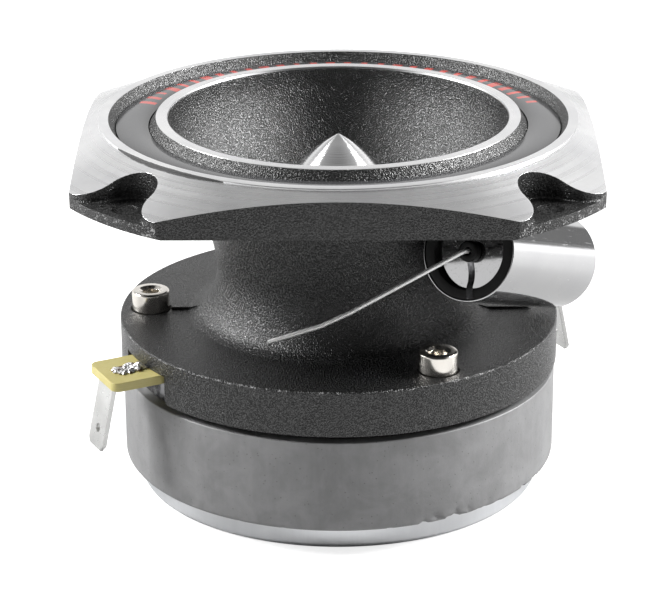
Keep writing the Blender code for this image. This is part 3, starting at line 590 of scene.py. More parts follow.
def smooth_curve(points, per_span=6):
    """A curve through the points, with Catmull-Rom spans."""
    places = [Vector(point) for point in (points[0], *points, points[-1])]
    curve = []
    for a, b, c, d in zip(places, places[1:], places[2:], places[3:]):
        for i in range(per_span):
            t = i / per_span
            square, cube = 2 * a - 5 * b + 4 * c - d, 3 * b - a - 3 * c + d
            curve.append(0.5 * (2 * b + (c - a) * t + square * t**2 + cube * t**3))
    curve.append(places[-1])
    return [tuple(point) for point in curve]


def rounded(points, steps=4, closed=True):
    """Each (x, y, radius) corner as an arc of its radius; a radius of 0 stays sharp."""
    count = len(points)
    path = []
    for i, (x, y, radius) in enumerate(points):
        here = Vector((x, y))
        if radius <= 0 or (not closed and i in (0, count - 1)):
            path.append((x, y))
            continue
        back = (Vector(points[i - 1][:2]) - here).normalized()
        ahead = (Vector(points[(i + 1) % count][:2]) - here).normalized()
        half = back.angle(ahead) / 2
        reach = radius / math.tan(half)
        centre = here + (back + ahead).normalized() * radius / math.sin(half)
        first, last = here + back * reach - centre, here + ahead * reach - centre
        turn = math.atan2(first.x * last.y - first.y * last.x, first.dot(last))
        for j in range(steps + 1):
            angle = turn * j / steps
            path.append(tuple(centre + Matrix.Rotation(angle, 2) @ first))
    return path


def turned_mesh(profile, steps=FINE, ring=False):
    """A profile of (radius, height) in millimetres turned about Z."""
    mesh = bpy.data.meshes.new("profile")
    count = len(profile)
    edges = [(i, i + 1) for i in range(count - 1)]
    if ring:
        edges.append((count - 1, 0))
    mesh.from_pydata([(r * MM, 0.0, z * MM) for r, z in profile], edges, [])
    obj = link(bpy.data.objects.new("profile", mesh))
    screw = obj.modifiers.new("Turn", "SCREW")
    screw.steps = screw.render_steps = steps
    screw.use_merge_vertices = True
    screw.merge_threshold = 0.000001
    return baked(obj)


def outline_mesh(loops, bottom, top, bevel=0.0):
    """Flat loops in millimetres, the first of them the outer edge, given a thickness."""
    curve = bpy.data.curves.new("outline", "CURVE")
    curve.dimensions = "2D"
    curve.fill_mode = "BOTH"
    curve.extrude = (top - bottom) / 2 * MM
    for loop in loops:
        spline = curve.splines.new("POLY")
        spline.points.add(len(loop) - 1)
        for point, (x, y) in zip(spline.points, loop):
            point.co = (x * MM, y * MM, 0.0, 1.0)
        spline.use_cyclic_u = True
    mesh = baked(link(bpy.data.objects.new("outline", curve)))
    mesh.transform(at(0.0, 0.0, (top + bottom) / 2))
    work = bmesh.new()
    work.from_mesh(mesh)
    bmesh.ops.remove_doubles(work, verts=work.verts, dist=0.0000005)
    bmesh.ops.dissolve_limit(work, angle_limit=0.001, verts=work.verts, edges=work.edges)
    bmesh.ops.recalc_face_normals(work, faces=work.faces)
    if bevel:
        edges = [edge for edge in work.edges if edge.calc_face_angle(0.0) > math.radians(50)]
        bmesh.ops.bevel(work, geom=edges, offset=bevel * MM, segments=3, affect="EDGES", profile=0.5)
    work.to_mesh(mesh)
    work.free()
    return mesh


def box_mesh(low, high):
    work = bmesh.new()
    bmesh.ops.create_cube(work, size=1.0)
    bmesh.ops.scale(work, vec=[(b - a) * MM for a, b in zip(low, high)], verts=work.verts)
    bmesh.ops.translate(work, vec=[(a + b) / 2 * MM for a, b in zip(low, high)], verts=work.verts)
    mesh = bpy.data.meshes.new("box")
    work.to_mesh(mesh)
    work.free()
    return mesh


def combined(mesh, tools):
    """The mesh after one Boolean for each (tool mesh, matrix, operation)."""
    obj = link(bpy.data.objects.new("work", mesh))
    used = []
    for tool, matrix, operation in tools:
        other = link(bpy.data.objects.new("tool", tool))
        other.matrix_world = matrix
        step = obj.modifiers.new("step", "BOOLEAN")
        step.object = other
        step.operation = operation
        step.solver = "EXACT"
        used.append(other)
    result = baked(obj)
    for other in used:
        bpy.data.objects.remove(other)
    return result


def about_z(angle_deg):
    return Matrix.Rotation(math.radians(angle_deg), 4, "Z")


def at(x, y, z):
    return Matrix.Translation(Vector((x, y, z)) * MM)


def out_at(distance, angle_deg):
    """A move to a place given by its distance from the axis and its direction."""
    angle = math.radians(angle_deg)
    return at(distance * math.cos(angle), distance * math.sin(angle), 0.0)


def on_tab(angle_deg, x=0.0, y=0.0, z=0.0):
    """A tab's own frame: +X outwards along its middle line, moved to a place within it."""
    return about_z(angle_deg) @ at(x, TAB_OFFSET + y, z)


def piece(name, mesh, finish, nodes=(), body=DRIVER, matrix=None):
    """A shown piece that rides on a body and stands for CAD nodes."""
    if matrix:
        mesh.transform(matrix)
    mesh.materials.clear()
    for choice in [finish] if isinstance(finish, str) else finish:
        mesh.materials.append(LOOKS[choice])
    smooth(mesh)
    obj = link(bpy.data.objects.new(name, mesh))
    obj.modifiers.new("Flat faces stay flat", "WEIGHTED_NORMAL").keep_sharp = True
    if nodes:
        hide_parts(*nodes)
    if body:
        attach(obj, body)
    return obj


# ---- horn casting


def cone_height(radius):
    return LIP_TOP - LIP_STEP - CONE_SLOPE * (radius - LIP_OUTER)


def neck_curve():
    """The neck's outer wall, from the flange's underside down to the base."""
    upper = ((30.5, 61.38), (28.2, 59.2), (26.3, 56.2), (25.1, 52.4), (24.0, 48.4), (23.1, 44.6))
    lower = ((22.6, 42.2), (22.43, 40.5), (22.55, 38.6), (23.1, 36.4), (24.2, 34.0), (25.9, 32.1))
    return smooth_curve(upper + lower + ((NECK_FOOT_RADIUS, BASE_TOP),), 4)


def bowl_curve():
    """The horn's inner wall, from the throat up to the mouth."""
    lower = ((THROAT_RADIUS, THROAT_LOW), (13.1, 38.0), (13.9, 41.2), (15.8, 44.8), (18.6, 48.4), (21.6, 51.8))
    upper = ((24.4, 55.2), (26.8, 58.6), (28.8, 62.0), (30.2, 65.6), (MOUTH_RADIUS - 0.1, LIP_TOP - 0.35))
    return smooth_curve(lower + upper, 4)


def casting_profile():
    lip = [(LIP_INNER, LIP_TOP, 0.15), (LIP_OUTER, LIP_TOP, 0.12), (LIP_OUTER, LIP_TOP - LIP_STEP, 0.08)]
    rim = [(BLANK_RADIUS, cone_height(BLANK_RADIUS), 0), (BLANK_RADIUS, FLANGE_UNDERSIDE, 0.5)]
    seat = [(FLANGE_SEAT_INNER, FLANGE_UNDERSIDE, 0.1), (FLANGE_SEAT_INNER, FLANGE_UNDERSIDE + 0.3, 0)]
    flange = rounded(lip + rim + seat, 3, False)
    recess = CARRIER_TOP + CLEARANCE
    top = [(NECK_FOOT_RADIUS, BASE_TOP, 0), (BASE_RADIUS, BASE_TOP, 0.3), (BASE_RADIUS, BASE_BOTTOM, 0.4)]
    skirt = [(SKIRT_INNER, BASE_BOTTOM, 0.2), (SKIRT_INNER, PLATE_TOP + CLEARANCE, 0)]
    inside = [(RECESS_RADIUS, PLATE_TOP + CLEARANCE, 0), (RECESS_RADIUS, recess, 0), (SEAT_RADIUS, recess, 0)]
    chamber = [(SEAT_RADIUS, recess + 0.5, 0), (CHAMBER_RADIUS, recess + 0.5, 0), (CHAMBER_RADIUS, 30.4, 0.3)]
    throat = [(17.4, 31.0, 1.5), (13.5, 33.2, 0.4), (THROAT_RADIUS, THROAT_LOW, 0)]
    base = rounded(top + skirt + inside + chamber + throat, 3, False)
    ring = [(MOUTH_RADIUS - 0.1, LIP_TOP - 0.35, 0), (MOUTH_RADIUS + 0.05, LIP_TOP, 0.1), (RING_OUTER, LIP_TOP, 0.12)]
    groove = [(GROOVE_INNER, GROOVE_FLOOR, 0.3), (GROOVE_OUTER, GROOVE_FLOOR, 0.3), (LIP_INNER, LIP_TOP, 0)]
    mouth = rounded(ring + groove, 3, False)
    return flange + neck_curve() + base[1:] + bowl_curve()[1:] + mouth[1:-1]


def pocket_outline():
    """A corner pocket along +X: a round inner end whose sides flare out to the flange's rim."""
    meeting = math.degrees(math.atan2(FLARE_CENTRE[1], FLARE_CENTRE[0] - POCKET_CENTRE))
    inner = arc((POCKET_CENTRE, 0.0), POCKET_RADIUS, meeting, 360.0 - meeting, 32)
    flare = arc((FLARE_CENTRE[0], -FLARE_CENTRE[1]), FLARE_RADIUS, 180.0 - meeting, -13.6, 14)
    lower = flare[1:] + [(FLARE_CENTRE[0] + 9.0, -12.5)]
    return inner + lower + [(u, -v) for u, v in reversed(lower)]


def flange_tools():
    square = box_mesh((-FLANGE_HALF, -FLANGE_HALF, BASE_BOTTOM - 5), (FLANGE_HALF, FLANGE_HALF, LIP_TOP + 5))
    tools = [(square, Matrix(), KEEP)]
    drill = [(0, 70), (3.0, 70), (MOUNT_HOLE_RADIUS, POCKET_FLOOR - 0.25), (MOUNT_HOLE_RADIUS, 59), (0, 59)]
    hole = turned_mesh(drill, 48)
    for corner in range(4):
        angle = 45.0 + 90.0 * corner
        pocket = outline_mesh([pocket_outline()], POCKET_FLOOR, LIP_TOP + 3, 0.45)
        tools.append((pocket, about_z(angle), CUT))
        tools.append((hole.copy(), out_at(MOUNT_HOLE_PLACE, angle), CUT))
    return tools


def seam_tools():
    """The mould's parting seam: a low rib across the base, on both sides of the neck."""
    top, root = BASE_TOP + 0.36, BASE_TOP - 0.5
    side = [(23.5, BASE_TOP + 1.0), (25.5, BASE_TOP + 0.9), (27.6, top), (35.0, top), (37.0, root), (23.5, root)]
    rib = outline_mesh([side], -0.6, 0.5, 0.05)
    return [(rib.copy(), STANDING, JOIN), (rib, about_z(180) @ STANDING, JOIN)]


def base_tools():
    """Tools for the seam, for the screws' spotfaces and holes, and for the notches of the tabs."""
    tools = seam_tools()
    low = SPOTFACE_FLOOR
    spotface = [(0, low + 3), (4.0, low + 3), (3.85, low + 0.45), (3.75, low)]
    bore = [(CLAMP_HOLE_RADIUS, low), (CLAMP_HOLE_RADIUS, BASE_BOTTOM), (0, BASE_BOTTOM)]
    for angle in SCREW_ANGLES:
        tools.append((turned_mesh(spotface + bore, 48), out_at(SCREW_CIRCLE, angle), CUT))
    top, rim, below = CARRIER_TOP + CLEARANCE, BASE_BOTTOM, BASE_BOTTOM - 2
    left = [(-8.2, top, 0.0), (-8.2, rim, 0.0), (-9.5, rim - 0.6, 0.0), (-9.5, below, 0.0)]
    right = [(8.1, below, 0.0), (8.1, rim - 0.6, 0.0), (6.8, rim + 0.8, 1.2), (6.8, top, 0.0)]
    upright = Matrix(((0, 0, 1, 0), (1, 0, 0, 0), (0, 1, 0, 0), (0, 0, 0, 1)))
    for angle in TAB_ANGLES.values():
        notch = outline_mesh([rounded(left + right)], 30.5, 43)
        tools.append((notch, on_tab(angle) @ upright, CUT))
    return tools


def bridge_tools():
    """The three-armed bridge that carries the plug, with the hole of the plug's screw."""
    corners = [(0, HUB_HIGH, 0), (HUB_RADIUS, HUB_HIGH, 0.3), (HUB_RADIUS, HUB_LOW, 0.5), (0, HUB_LOW, 0)]
    tools = [(turned_mesh(rounded(corners, 3, False), 64), Matrix(), JOIN)]
    for arm in range(BRIDGE_ARMS):
        bar = box_mesh((4.9, -1.2, 35.3), (14.5, 1.2, 38.4))
        tools.append((bar, about_z(90 + 360 / BRIDGE_ARMS * arm), JOIN))
    hole = turned_mesh([(0, 40), (1.75, 40), (1.75, 36.6), (3.1, 36.6), (3.1, 33), (0, 33)], 32)
    return tools + [(hole, Matrix(), CUT)]


def is_machined(radius, z):
    """True on the cone, on the lip's and the mouth ring's tops, and on their fine edges."""
    on_cone = radius > LIP_OUTER - 0.1 and abs(z - cone_height(radius)) < 0.03
    on_lip = LIP_INNER - 0.1 < radius < LIP_OUTER + 0.2 and z > LIP_TOP - LIP_STEP - 0.1
    on_ring = MOUTH_RADIUS - 0.15 < radius < RING_OUTER + 0.15 and z > LIP_TOP - 0.38
    return on_cone or on_lip or on_ring


def is_worn_and_glinting(radius, z):
    """True on the base's upper rim and on the flange's cut corners."""
    # Rim and corners get the rubbed specks, which are partly painted highlight
    on_rim = radius > BASE_RADIUS - 0.3 and BASE_TOP - 0.35 < z < BASE_TOP - 0.02
    on_corner = radius > BLANK_RADIUS - 0.3 and z < POCKET_FLOOR + 0.4
    return on_rim or on_corner


def is_underneath(radius, z):
    """True under the flange, outside the bowl."""
    return abs(z - FLANGE_UNDERSIDE) < 0.4 and radius > 30.2


CASTING_LOOKS = [
    ("machined_face", is_machined),
    ("worn_and_glinting_edge", is_worn_and_glinting),
    # The underside's dimmed copy of the coat is painted shade
    ("shaded_underside_coat", is_underneath),
    ("powder_coat", lambda radius, z: True),
]


def horn_casting():
    mesh = turned_mesh(casting_profile(), FINE, ring=True)
    mesh = combined(mesh, flange_tools() + base_tools() + bridge_tools())
    piece("cast_horn", mesh, [finish for finish, _ in CASTING_LOOKS], ["horn_casting"])
    for face in mesh.polygons:
        place = face.center / MM
        radius = math.hypot(place.x, place.y)
        face.material_index = next(i for i, (_, here) in enumerate(CASTING_LOOKS) if here(radius, place.z))


def label_ring():
    """The label ring, crowned a little from its inner edge to its outer one."""
    bottom, top = heights("trim_ring")
    inner, outer = GROOVE_INNER + CLEARANCE, GROOVE_OUTER - CLEARANCE
    crown = [(inner + (outer - inner) * i / 12, top - 0.35 * (i / 6 - 1) ** 2) for i in range(13)]
    profile = [(outer, bottom), (inner, bottom)] + crown
    piece("label_ring", turned_mesh(profile, FINE, ring=True), "label_film", ["trim_ring"])


def bullet():
    """The phase plug, with its hole from below."""
    tip = arc((0.0, 64.45), 0.75, 90.0, 32.0, 5)
    sides = ((1.04, 64.69), (2.44, 63.8), (3.83, 62.7), (5.23, 61.5), (6.63, 60.2), (8.0, 58.8), (9.3, 57.0))
    lower = ((10.2, 54.7), (10.5, 51.6), (10.3, 48.6), (9.5, 45.4), (8.2, 42.2), (6.9, 39.9), (6.2, 39.1))
    profile = tip[:-2] + smooth_curve(sides + lower, 4) + [(1.7, 39.1), (1.7, 46.0), (0.0, 47.0)]
    piece("bullet_plug", turned_mesh(profile, FINE), "turned_plug", ["phase_plug"])


# ---- screws and motor


def cap_screw_mesh():
    top, under = SCREW_TOP, SCREW_TOP - HEAD_HEIGHT
    head = [(0, top, 0), (HEAD_RADIUS, top, 0.42), (HEAD_RADIUS, under, 0.12)]
    shank = [(SHANK_RADIUS, under, 0), (SHANK_RADIUS, SCREW_END, 0.3), (0, SCREW_END, 0)]
    lead_in = turned_mesh([(0, top + 1), (3.6, top + 1), (1.5, top - 0.5), (0, top - 0.5)], 48)
    turns = [math.radians(60 * i) for i in range(6)]
    hexagon = [(SOCKET_CORNER * math.cos(turn), SOCKET_CORNER * math.sin(turn)) for turn in turns]
    socket = outline_mesh([hexagon], top - SOCKET_DEPTH, top + 1)
    point = turned_mesh([(0, top - 2.1), (1.5, top - 2.1), (0, top - 2.9)], 32)
    tools = [(tool, Matrix(), CUT) for tool in (lead_in, socket, point)]
    return combined(turned_mesh(rounded(head + shank, 4, False), 64), tools)


def cap_screws():
    mesh = cap_screw_mesh()
    for number, angle in enumerate(SCREW_ANGLES, 1):
        place = out_at(SCREW_CIRCLE, angle) @ about_z(17.0 * number)
        piece(f"cap_screw_{number}", mesh.copy(), "nickel", [f"clamp_screw_{number}"], DRIVER, place)


def chipped(mesh, edge_z, radius):
    """Knocks shallow flakes out of the ring's lower outer edge, most of them at the front right."""
    for vertex in mesh.vertices:
        place = vertex.co / MM
        spread = math.hypot(place.x, place.y)
        height = place.z - edge_z
        if height > 2.2 or spread < radius - 3.0:
            continue
        direction = math.degrees(math.atan2(place.y, place.x))
        front = math.exp(-(((direction + 62.0) / 14.0) ** 2))
        grain = noise.fractal(place * 0.55, 0.9, 2.0, 3)
        depth = max(0.0, grain - 0.28 + 0.55 * front) * 0.9 * (1.0 - height / 2.2)
        shrink = 1.0 - depth * 0.9 / spread
        vertex.co = Vector((place.x * shrink, place.y * shrink, place.z + depth * 0.6)) * MM


def magnet():
    """The ferrite ring, with fine rows of points down its side for the chips."""
    low, high = MAGNET_BOTTOM, MAGNET_TOP
    outer, inner = MAGNET_RADIUS, MAGNET_HOLE
    rows = [(outer, high - 0.6 - (high - low - 1.7) * i / 14) for i in range(1, 15)]
    top = rounded([(inner, high, 0.4), (outer, high, 0.25), (outer, high - 2, 0)], 4, False)[1:-1]
    bottom = rounded([(outer, low + 2, 0), (outer, low, 0.8), (inner, low, 0)], 5, False)[1:-1]
    profile = [(inner, high)] + top + rows + bottom
    profile += [(outer - 1.6, low), (outer - 2.6, low), (inner, low)]
    mesh = turned_mesh(profile, 2 * FINE, ring=True)
    chipped(mesh, low, outer)
    piece("ferrite_ring", mesh, "ferrite", ["magnet_ring"])


def rear_plate():
    corners = [(0, BACK_TOP, 0), (BACK_RADIUS, BACK_TOP, 0.25), (BACK_RADIUS, 0.0, 0.9), (0, 0.0, 0)]
    piece("rear_plate", turned_mesh(rounded(corners, 5, False), FINE), "zinc_plate", ["back_plate"])


def front_plate():
    outer = [(PLATE_RADIUS, PLATE_TOP, 0.4), (PLATE_RADIUS, PLATE_BOTTOM, 0.4)]
    inner = [(PLATE_HOLE, PLATE_BOTTOM, 0.2), (PLATE_HOLE, PLATE_TOP, 0.2)]
    mesh = turned_mesh(rounded(outer + inner, 3), FINE, ring=True)
    hole = [(0, PLATE_TOP + 1), (2.15, PLATE_TOP + 1), (2.15, PLATE_BOTTOM - 1), (0, PLATE_BOTTOM - 1)]
    tools = [(turned_mesh(hole, 32), out_at(SCREW_CIRCLE, angle), CUT) for angle in SCREW_ANGLES]
    piece("front_plate", combined(mesh, tools), "dark_steel", ["top_plate"])


def pole():
    low, high = heights("pole_piece")
    profile = rounded([(0, high, 0), (POLE_RADIUS, high, 0.6), (POLE_RADIUS, low, 0), (0, low, 0)], 4, False)
    piece("centre_pole", turned_mesh(profile, MEDIUM), "zinc_plate", ["pole_piece"])


# ---- diaphragm


def diaphragm():
    ball = (DOME_RADIUS**2 + DOME_HEIGHT**2) / (2 * DOME_HEIGHT)
    centre = DOME_RIM + DOME_HEIGHT - ball
    half = math.degrees(math.asin(DOME_RADIUS / ball))
    outer = arc((0.0, centre), ball, 90.0, 90.0 - half, 24)
    inner = arc((0.0, centre - FOIL), ball, 90.0 - half, 90.0, 24)
    outer[0], inner[-1] = (0.0, outer[0][1]), (0.0, inner[-1][1])
    profile = outer + [(DOME_EDGE, DOME_RIM), (DOME_EDGE, DOME_RIM - FOIL)] + inner
    piece("titanium_dome", turned_mesh(profile, MEDIUM), "titanium_foil", ["diaphragm_dome"], DIAPHRAGM)
    low, high = heights("voice_coil")
    step = (high - low) / COIL_TURNS
    bumps = [(COIL_OUTER + 0.07 * (i % 2), high - step * (i + 0.5)) for i in range(COIL_TURNS)]
    profile = [(COIL_INNER, high), (COIL_OUTER, high)] + bumps + [(COIL_OUTER, low), (COIL_INNER, low)]
    piece("wound_coil", turned_mesh(profile, MEDIUM, ring=True), "copper_winding", ["voice_coil"], DIAPHRAGM)
    low, high = heights("coil_former")
    inner, outer = FORMER_RADIUS, FORMER_RADIUS + 0.2
    profile = [(outer, high), (outer, low), (inner, low), (inner, high)]
    piece("former_tube", turned_mesh(profile, MEDIUM, ring=True), "polyimide_film", ["coil_former"], DIAPHRAGM)
    surround()


def surround():
    """The half roll, with no body of its own and its place baked into its mesh."""
    bottom, top = SURROUND_LOW, SURROUND_LOW + FOIL
    over = [(r, max(z, top)) for r, z in arc((ROLL_PLACE, bottom), 1.2, 180.0, 0.0, 16)]
    under = arc((ROLL_PLACE, bottom), 1.05, 0.0, 180.0, 16)
    profile = [(SURROUND_INNER, top)] + over + [(SURROUND_OUTER, top), (SURROUND_OUTER, bottom)]
    profile += under + [(SURROUND_INNER, bottom)]
    obj = piece("roll_surround", turned_mesh(profile, MEDIUM, ring=True), "polyimide_film", ["surround"], None)
    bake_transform(obj)


# ---- terminals


def carrier():
    """The carrier ring with its two tabs, its rivet holes and the grooves for the ribbons."""
    corner, radius = 1.5, CARRIER_RADIUS
    low, high = TAB_OFFSET - TAB_WIDTH / 2, TAB_OFFSET + TAB_WIDTH / 2
    low_root, high_root = (math.degrees(math.asin(y / radius)) for y in (low, high))
    tab = arc((TAB_END - corner, low + corner), corner, -90.0, 0.0, 8)
    tab += arc((TAB_END - corner, high - corner), corner, 0.0, 90.0, 8)
    outline = []
    for angle in sorted(TAB_ANGLES.values()):
        turn = Matrix.Rotation(math.radians(angle), 2)
        outline += [tuple(turn @ Vector(point)) for point in tab]
        outline += arc((0.0, 0.0), radius, angle + high_root, angle + 180.0 + low_root, 60)
    loops = [outline, arc((0.0, 0.0), CARRIER_HOLE, 0.0, 360.0 - 360.0 / 96, 95)]
    for angle in TAB_ANGLES.values():
        place = on_tab(angle, RIVET_PLACE, RIVET_SHIFT).translation / MM
        loops.append(arc((place.x, place.y), RIVET_HOLE, 0.0, 345.0, 23))
    mesh = outline_mesh(loops, CARRIER_BOTTOM, CARRIER_TOP, 0.12)
    seat = turned_mesh([(0, 30), (SEAT_RADIUS, 30), (SEAT_RADIUS, DOME_RIM), (0, DOME_RIM)], MEDIUM)
    tools = [(seat, Matrix(), CUT)]
    for angle in TAB_ANGLES.values():
        groove = box_mesh((20, -1.1, CARRIER_TOP - 0.4), (40.5, 1.1, 30))
        tools.append((groove, on_tab(angle), CUT))
    piece("carrier_ring", combined(mesh, tools), "glass_fibre", ["diaphragm_carrier"])


def blade_mesh():
    """A blade along +X: a foot under the tab, bent down and outwards, chamfered and drilled."""
    under = CARRIER_BOTTOM - CLEARANCE
    drop = Vector((BLADE_TIP_PLACE - BLADE_BEND_PLACE, BLADE_TIP - under)).normalized()
    across = Vector((-drop.y, drop.x)) * BLADE_THICKNESS
    bend = Vector((BLADE_BEND_PLACE, under)) - across + drop * BLADE_THICKNESS
    start = RIVET_PLACE - 2.6
    upper = [(start, under, 0.1), (BLADE_BEND_PLACE, under, 1.1), (BLADE_TIP_PLACE, BLADE_TIP, 0.25)]
    lower = [(BLADE_TIP_PLACE - across.x, BLADE_TIP - across.y, 0.25), (bend.x, bend.y, 0.4)]
    side = rounded(upper + lower + [(start, under - BLADE_THICKNESS, 0.1)], 6)
    mesh = outline_mesh([side], -BLADE_WIDTH / 2, BLADE_WIDTH / 2, 0.1)
    mesh.transform(at(0, BLADE_SHIFT, 0) @ STANDING)
    tools = []
    for edge in (-1, 1):
        place = at(BLADE_TIP_PLACE, BLADE_SHIFT + edge * (BLADE_WIDTH / 2 + 3.2), BLADE_TIP)
        corner = box_mesh((-3, -3, -3), (3, 3, 3))
        tools.append((corner, place @ Matrix.Rotation(math.radians(45), 4, "X"), CUT))
    place = at(BLADE_TIP_PLACE - 0.9, BLADE_SHIFT, BLADE_TIP + 3.6)
    lug = turned_mesh([(0, 2), (0.8, 2), (0.8, -2), (0, -2)], 32)
    tools.append((lug, place @ Matrix.Rotation(math.radians(90), 4, "Y"), CUT))
    rivet = turned_mesh([(0, 2), (RIVET_HOLE, 2), (RIVET_HOLE, -2), (0, -2)], 32)
    tools.append((rivet, at(RIVET_PLACE, RIVET_SHIFT, CARRIER_BOTTOM), CUT))
    return combined(mesh, tools)


def solder_mesh(seed, size=1.0):
    """A flat puddle with a ragged edge, and a ridge that runs off towards the casting."""
    work = bmesh.new()
    bmesh.ops.create_icosphere(work, subdivisions=6, radius=1.0)
    for vertex in work.verts:
        around = math.atan2(vertex.co.y, vertex.co.x)
        ragged = noise.fractal(Vector((math.cos(around), math.sin(around), seed)) * 1.9, 0.7, 2.0, 4)
        x = vertex.co.x * (2.9 + 0.9 * ragged)
        y = vertex.co.y * (1.9 + 0.9 * ragged)
        ridge = 1.3 * math.exp(-(((x + 2.1) / 0.9) ** 2)) * (1.0 + 0.4 * vertex.co.y)
        wrinkle = noise.fractal(Vector((x, y, seed)) * 1.1, 0.7, 2.0, 4)
        z = max(vertex.co.z, 0.0) * (0.5 + ridge * 0.6 + 0.25 * wrinkle)
        vertex.co = Vector((x, y, max(z, 0.0))) * size * MM
    mesh = bpy.data.meshes.new("solder")
    work.to_mesh(mesh)
    work.free()
    return mesh


def terminals():
    blade = blade_mesh()
    for seed, (side, angle) in enumerate(TAB_ANGLES.items(), 3):
        piece(f"push_on_blade_{side}", blade.copy(), "tin_plate", [f"terminal_blade_{side}"], DRIVER, on_tab(angle))
        place = on_tab(angle, RIVET_PLACE, RIVET_SHIFT)
        lump = solder_mesh(seed * 1.7)
        lump.transform(at(0.0, 0.0, CARRIER_TOP + CLEARANCE))
        if side == "right":
            lump = combined(lump, [(solder_mesh(9.1, 0.62), at(4.6, -2.4, CARRIER_TOP - 0.9), JOIN)])
        piece(f"solder_joint_{side}", lump, "solder_metal", [f"solder_{side}"], DRIVER, place)
        head, radius = CARRIER_BOTTOM - CLEARANCE - BLADE_THICKNESS - 0.3, RIVET_RADIUS
        corners = [(radius, head, 0), (1.9, head, 0.1), (1.5, head - 0.5, 0.3), (0, head - 0.6, 0)]
        profile = [(0, CARRIER_TOP), (radius, CARRIER_TOP)] + rounded(corners, 3, False)
        piece(f"hollow_rivet_{side}", turned_mesh(profile, 48), "tin_plate", [f"terminal_rivet_{side}"], DRIVER, place)


# ---- capacitor


def cap_axis():
    azimuth, droop = math.radians(CAP_AZIMUTH), math.radians(CAP_DROOP)
    return Vector((math.sin(azimuth) * math.cos(droop), math.cos(azimuth) * math.cos(droop), -math.sin(droop)))


def cap_matrix():
    """Places a mesh whose +Z points out of the capacitor's front end."""
    turn = (-cap_axis()).to_track_quat("Z", "Y").to_matrix().to_4x4()
    return Matrix.Translation(CAP_FRONT * MM) @ turn


def cap_piece(name, mesh, finish, nodes):
    """A piece of the capacitor, with its own origin on the can's axis so that its texture follows it."""
    obj = piece(name, mesh, finish, nodes, None)
    obj.matrix_world = cap_matrix()
    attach(obj, DRIVER)
    return obj


def capacitor():
    radius, length, wall = CAP_RADIUS, CAP_LENGTH, 0.25
    inside = [(0.0, 1 - length, 0), (radius - wall, 1 - length, 0.3), (radius - wall, 0.0, 0.05)]
    outside = [(radius, 0.0, 0.15), (radius, -length, 0.9), (0.0, -length, 0)]
    can = turned_mesh(rounded(inside + outside, 5, False), FINE)
    cap_piece("bright_can", can, "mirror_can", ["capacitor_can"])
    edge = radius - wall - CLEARANCE
    seal = [(0, -2.1, 0), (6.6, -2.1, 0), (6.6, -0.15, 0.25), (edge, -0.15, 0.15), (edge, -5, 0), (0, -5, 0)]
    cap_piece("end_seal", turned_mesh(rounded(seal, 4, False), FINE), "end_seal_rubber", ["capacitor_seal"])
    disc = [(0, -1.6), (6.4, -1.6), (6.5, -1.7), (6.5, -2.0), (0, -2.0)]
    cap_piece("end_disc", turned_mesh(disc, FINE), "mirror_can", ["capacitor_end_disc"])
    grommet = rounded([(1.9, 0.3, 0.5), (1.9, -1.4, 0), (0.7, -1.4, 0), (0.7, 0.3, 0.2)], 5)
    cap_piece("grommet", turned_mesh(grommet, 64, ring=True), "end_seal_rubber", ["capacitor_grommet"])
    over = smooth_curve([(1.9, -0.6), (3.4, -0.9), (5.0, -0.6), (6.2, 0.15), (7.2, 0.3), (8.3, 0.25)], 5)
    strip = over + [(x, z - 0.18) for x, z in reversed(over)]
    mesh = outline_mesh([strip], -0.6, 0.6, 0.04)
    mesh.transform(about_z(STRIP_ANGLE) @ STANDING)
    cap_piece("foil_strip", mesh, "dark_steel", ["capacitor_foil_strip"]).visible_glossy = False


def wire_piece(name, corners, bend, nodes):
    """A round tinned wire through the corners, with soft bends and cut ends."""
    path = [corners[0]]
    for before, corner, after in zip(corners, corners[1:], corners[2:]):
        start = corner + (before - corner).normalized() * bend
        end = corner + (after - corner).normalized() * bend
        for i in range(13):
            t = i / 12
            path.append(start.lerp(corner, t).lerp(corner.lerp(end, t), t))
    path.append(corners[-1])
    curve = bpy.data.curves.new(name, "CURVE")
    curve.dimensions = "3D"
    curve.bevel_depth = LEAD_RADIUS * MM
    curve.bevel_resolution = 6
    curve.use_fill_caps = True
    spline = curve.splines.new("POLY")
    spline.points.add(len(path) - 1)
    for point, place in zip(spline.points, path):
        point.co = (*(place * MM), 1.0)
    mesh = baked(link(bpy.data.objects.new(name, curve)))
    work = bmesh.new()
    work.from_mesh(mesh)
    bmesh.ops.remove_doubles(work, verts=work.verts, dist=0.0000005)
    work.to_mesh(mesh)
    work.free()
    return piece(name, mesh, "tinned_wire", nodes)


def leads():
    axis = cap_axis()
    corners = [CAP_FRONT + axis * 1.2, CAP_FRONT - axis * 1.3]
    corners += [Vector(place) for place in ((1.9, -28.6, 41.3), (-3.0, -28.6, 38.9), (-12.3, -28.6, 35.9))]
    wire_piece("free_lead", corners, 0.9, ["capacitor_free_lead"]).visible_glossy = False
    rear = CAP_FRONT + axis * (CAP_LENGTH + 0.1)
    joint = on_tab(TAB_ANGLES["right"], RIVET_PLACE + 1.5, RIVET_SHIFT, CARRIER_TOP + 2.4).translation / MM
    corners = [rear, rear + axis * 3, joint + Vector((0.5, -1.0, 4.0)), joint]
    wire_piece("rear_lead", corners, 1.2, ["capacitor_rear_lead"])


# ---- the rest and the studio

CARRIED_OVER = {
    "plug_screw": "nickel",
    "damping_felt": "pressed_felt",
    "lead_ribbon_left": "copper_winding",
    "lead_ribbon_right": "copper_winding",
    "capacitor_winding": "wound_paper",
    "capacitor_adhesive": "hot_melt_glue",
}


def dress_carried_over():
    for node, finish in CARRIED_OVER.items():
        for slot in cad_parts[node].material_slots:
            slot.material = LOOKS[finish]


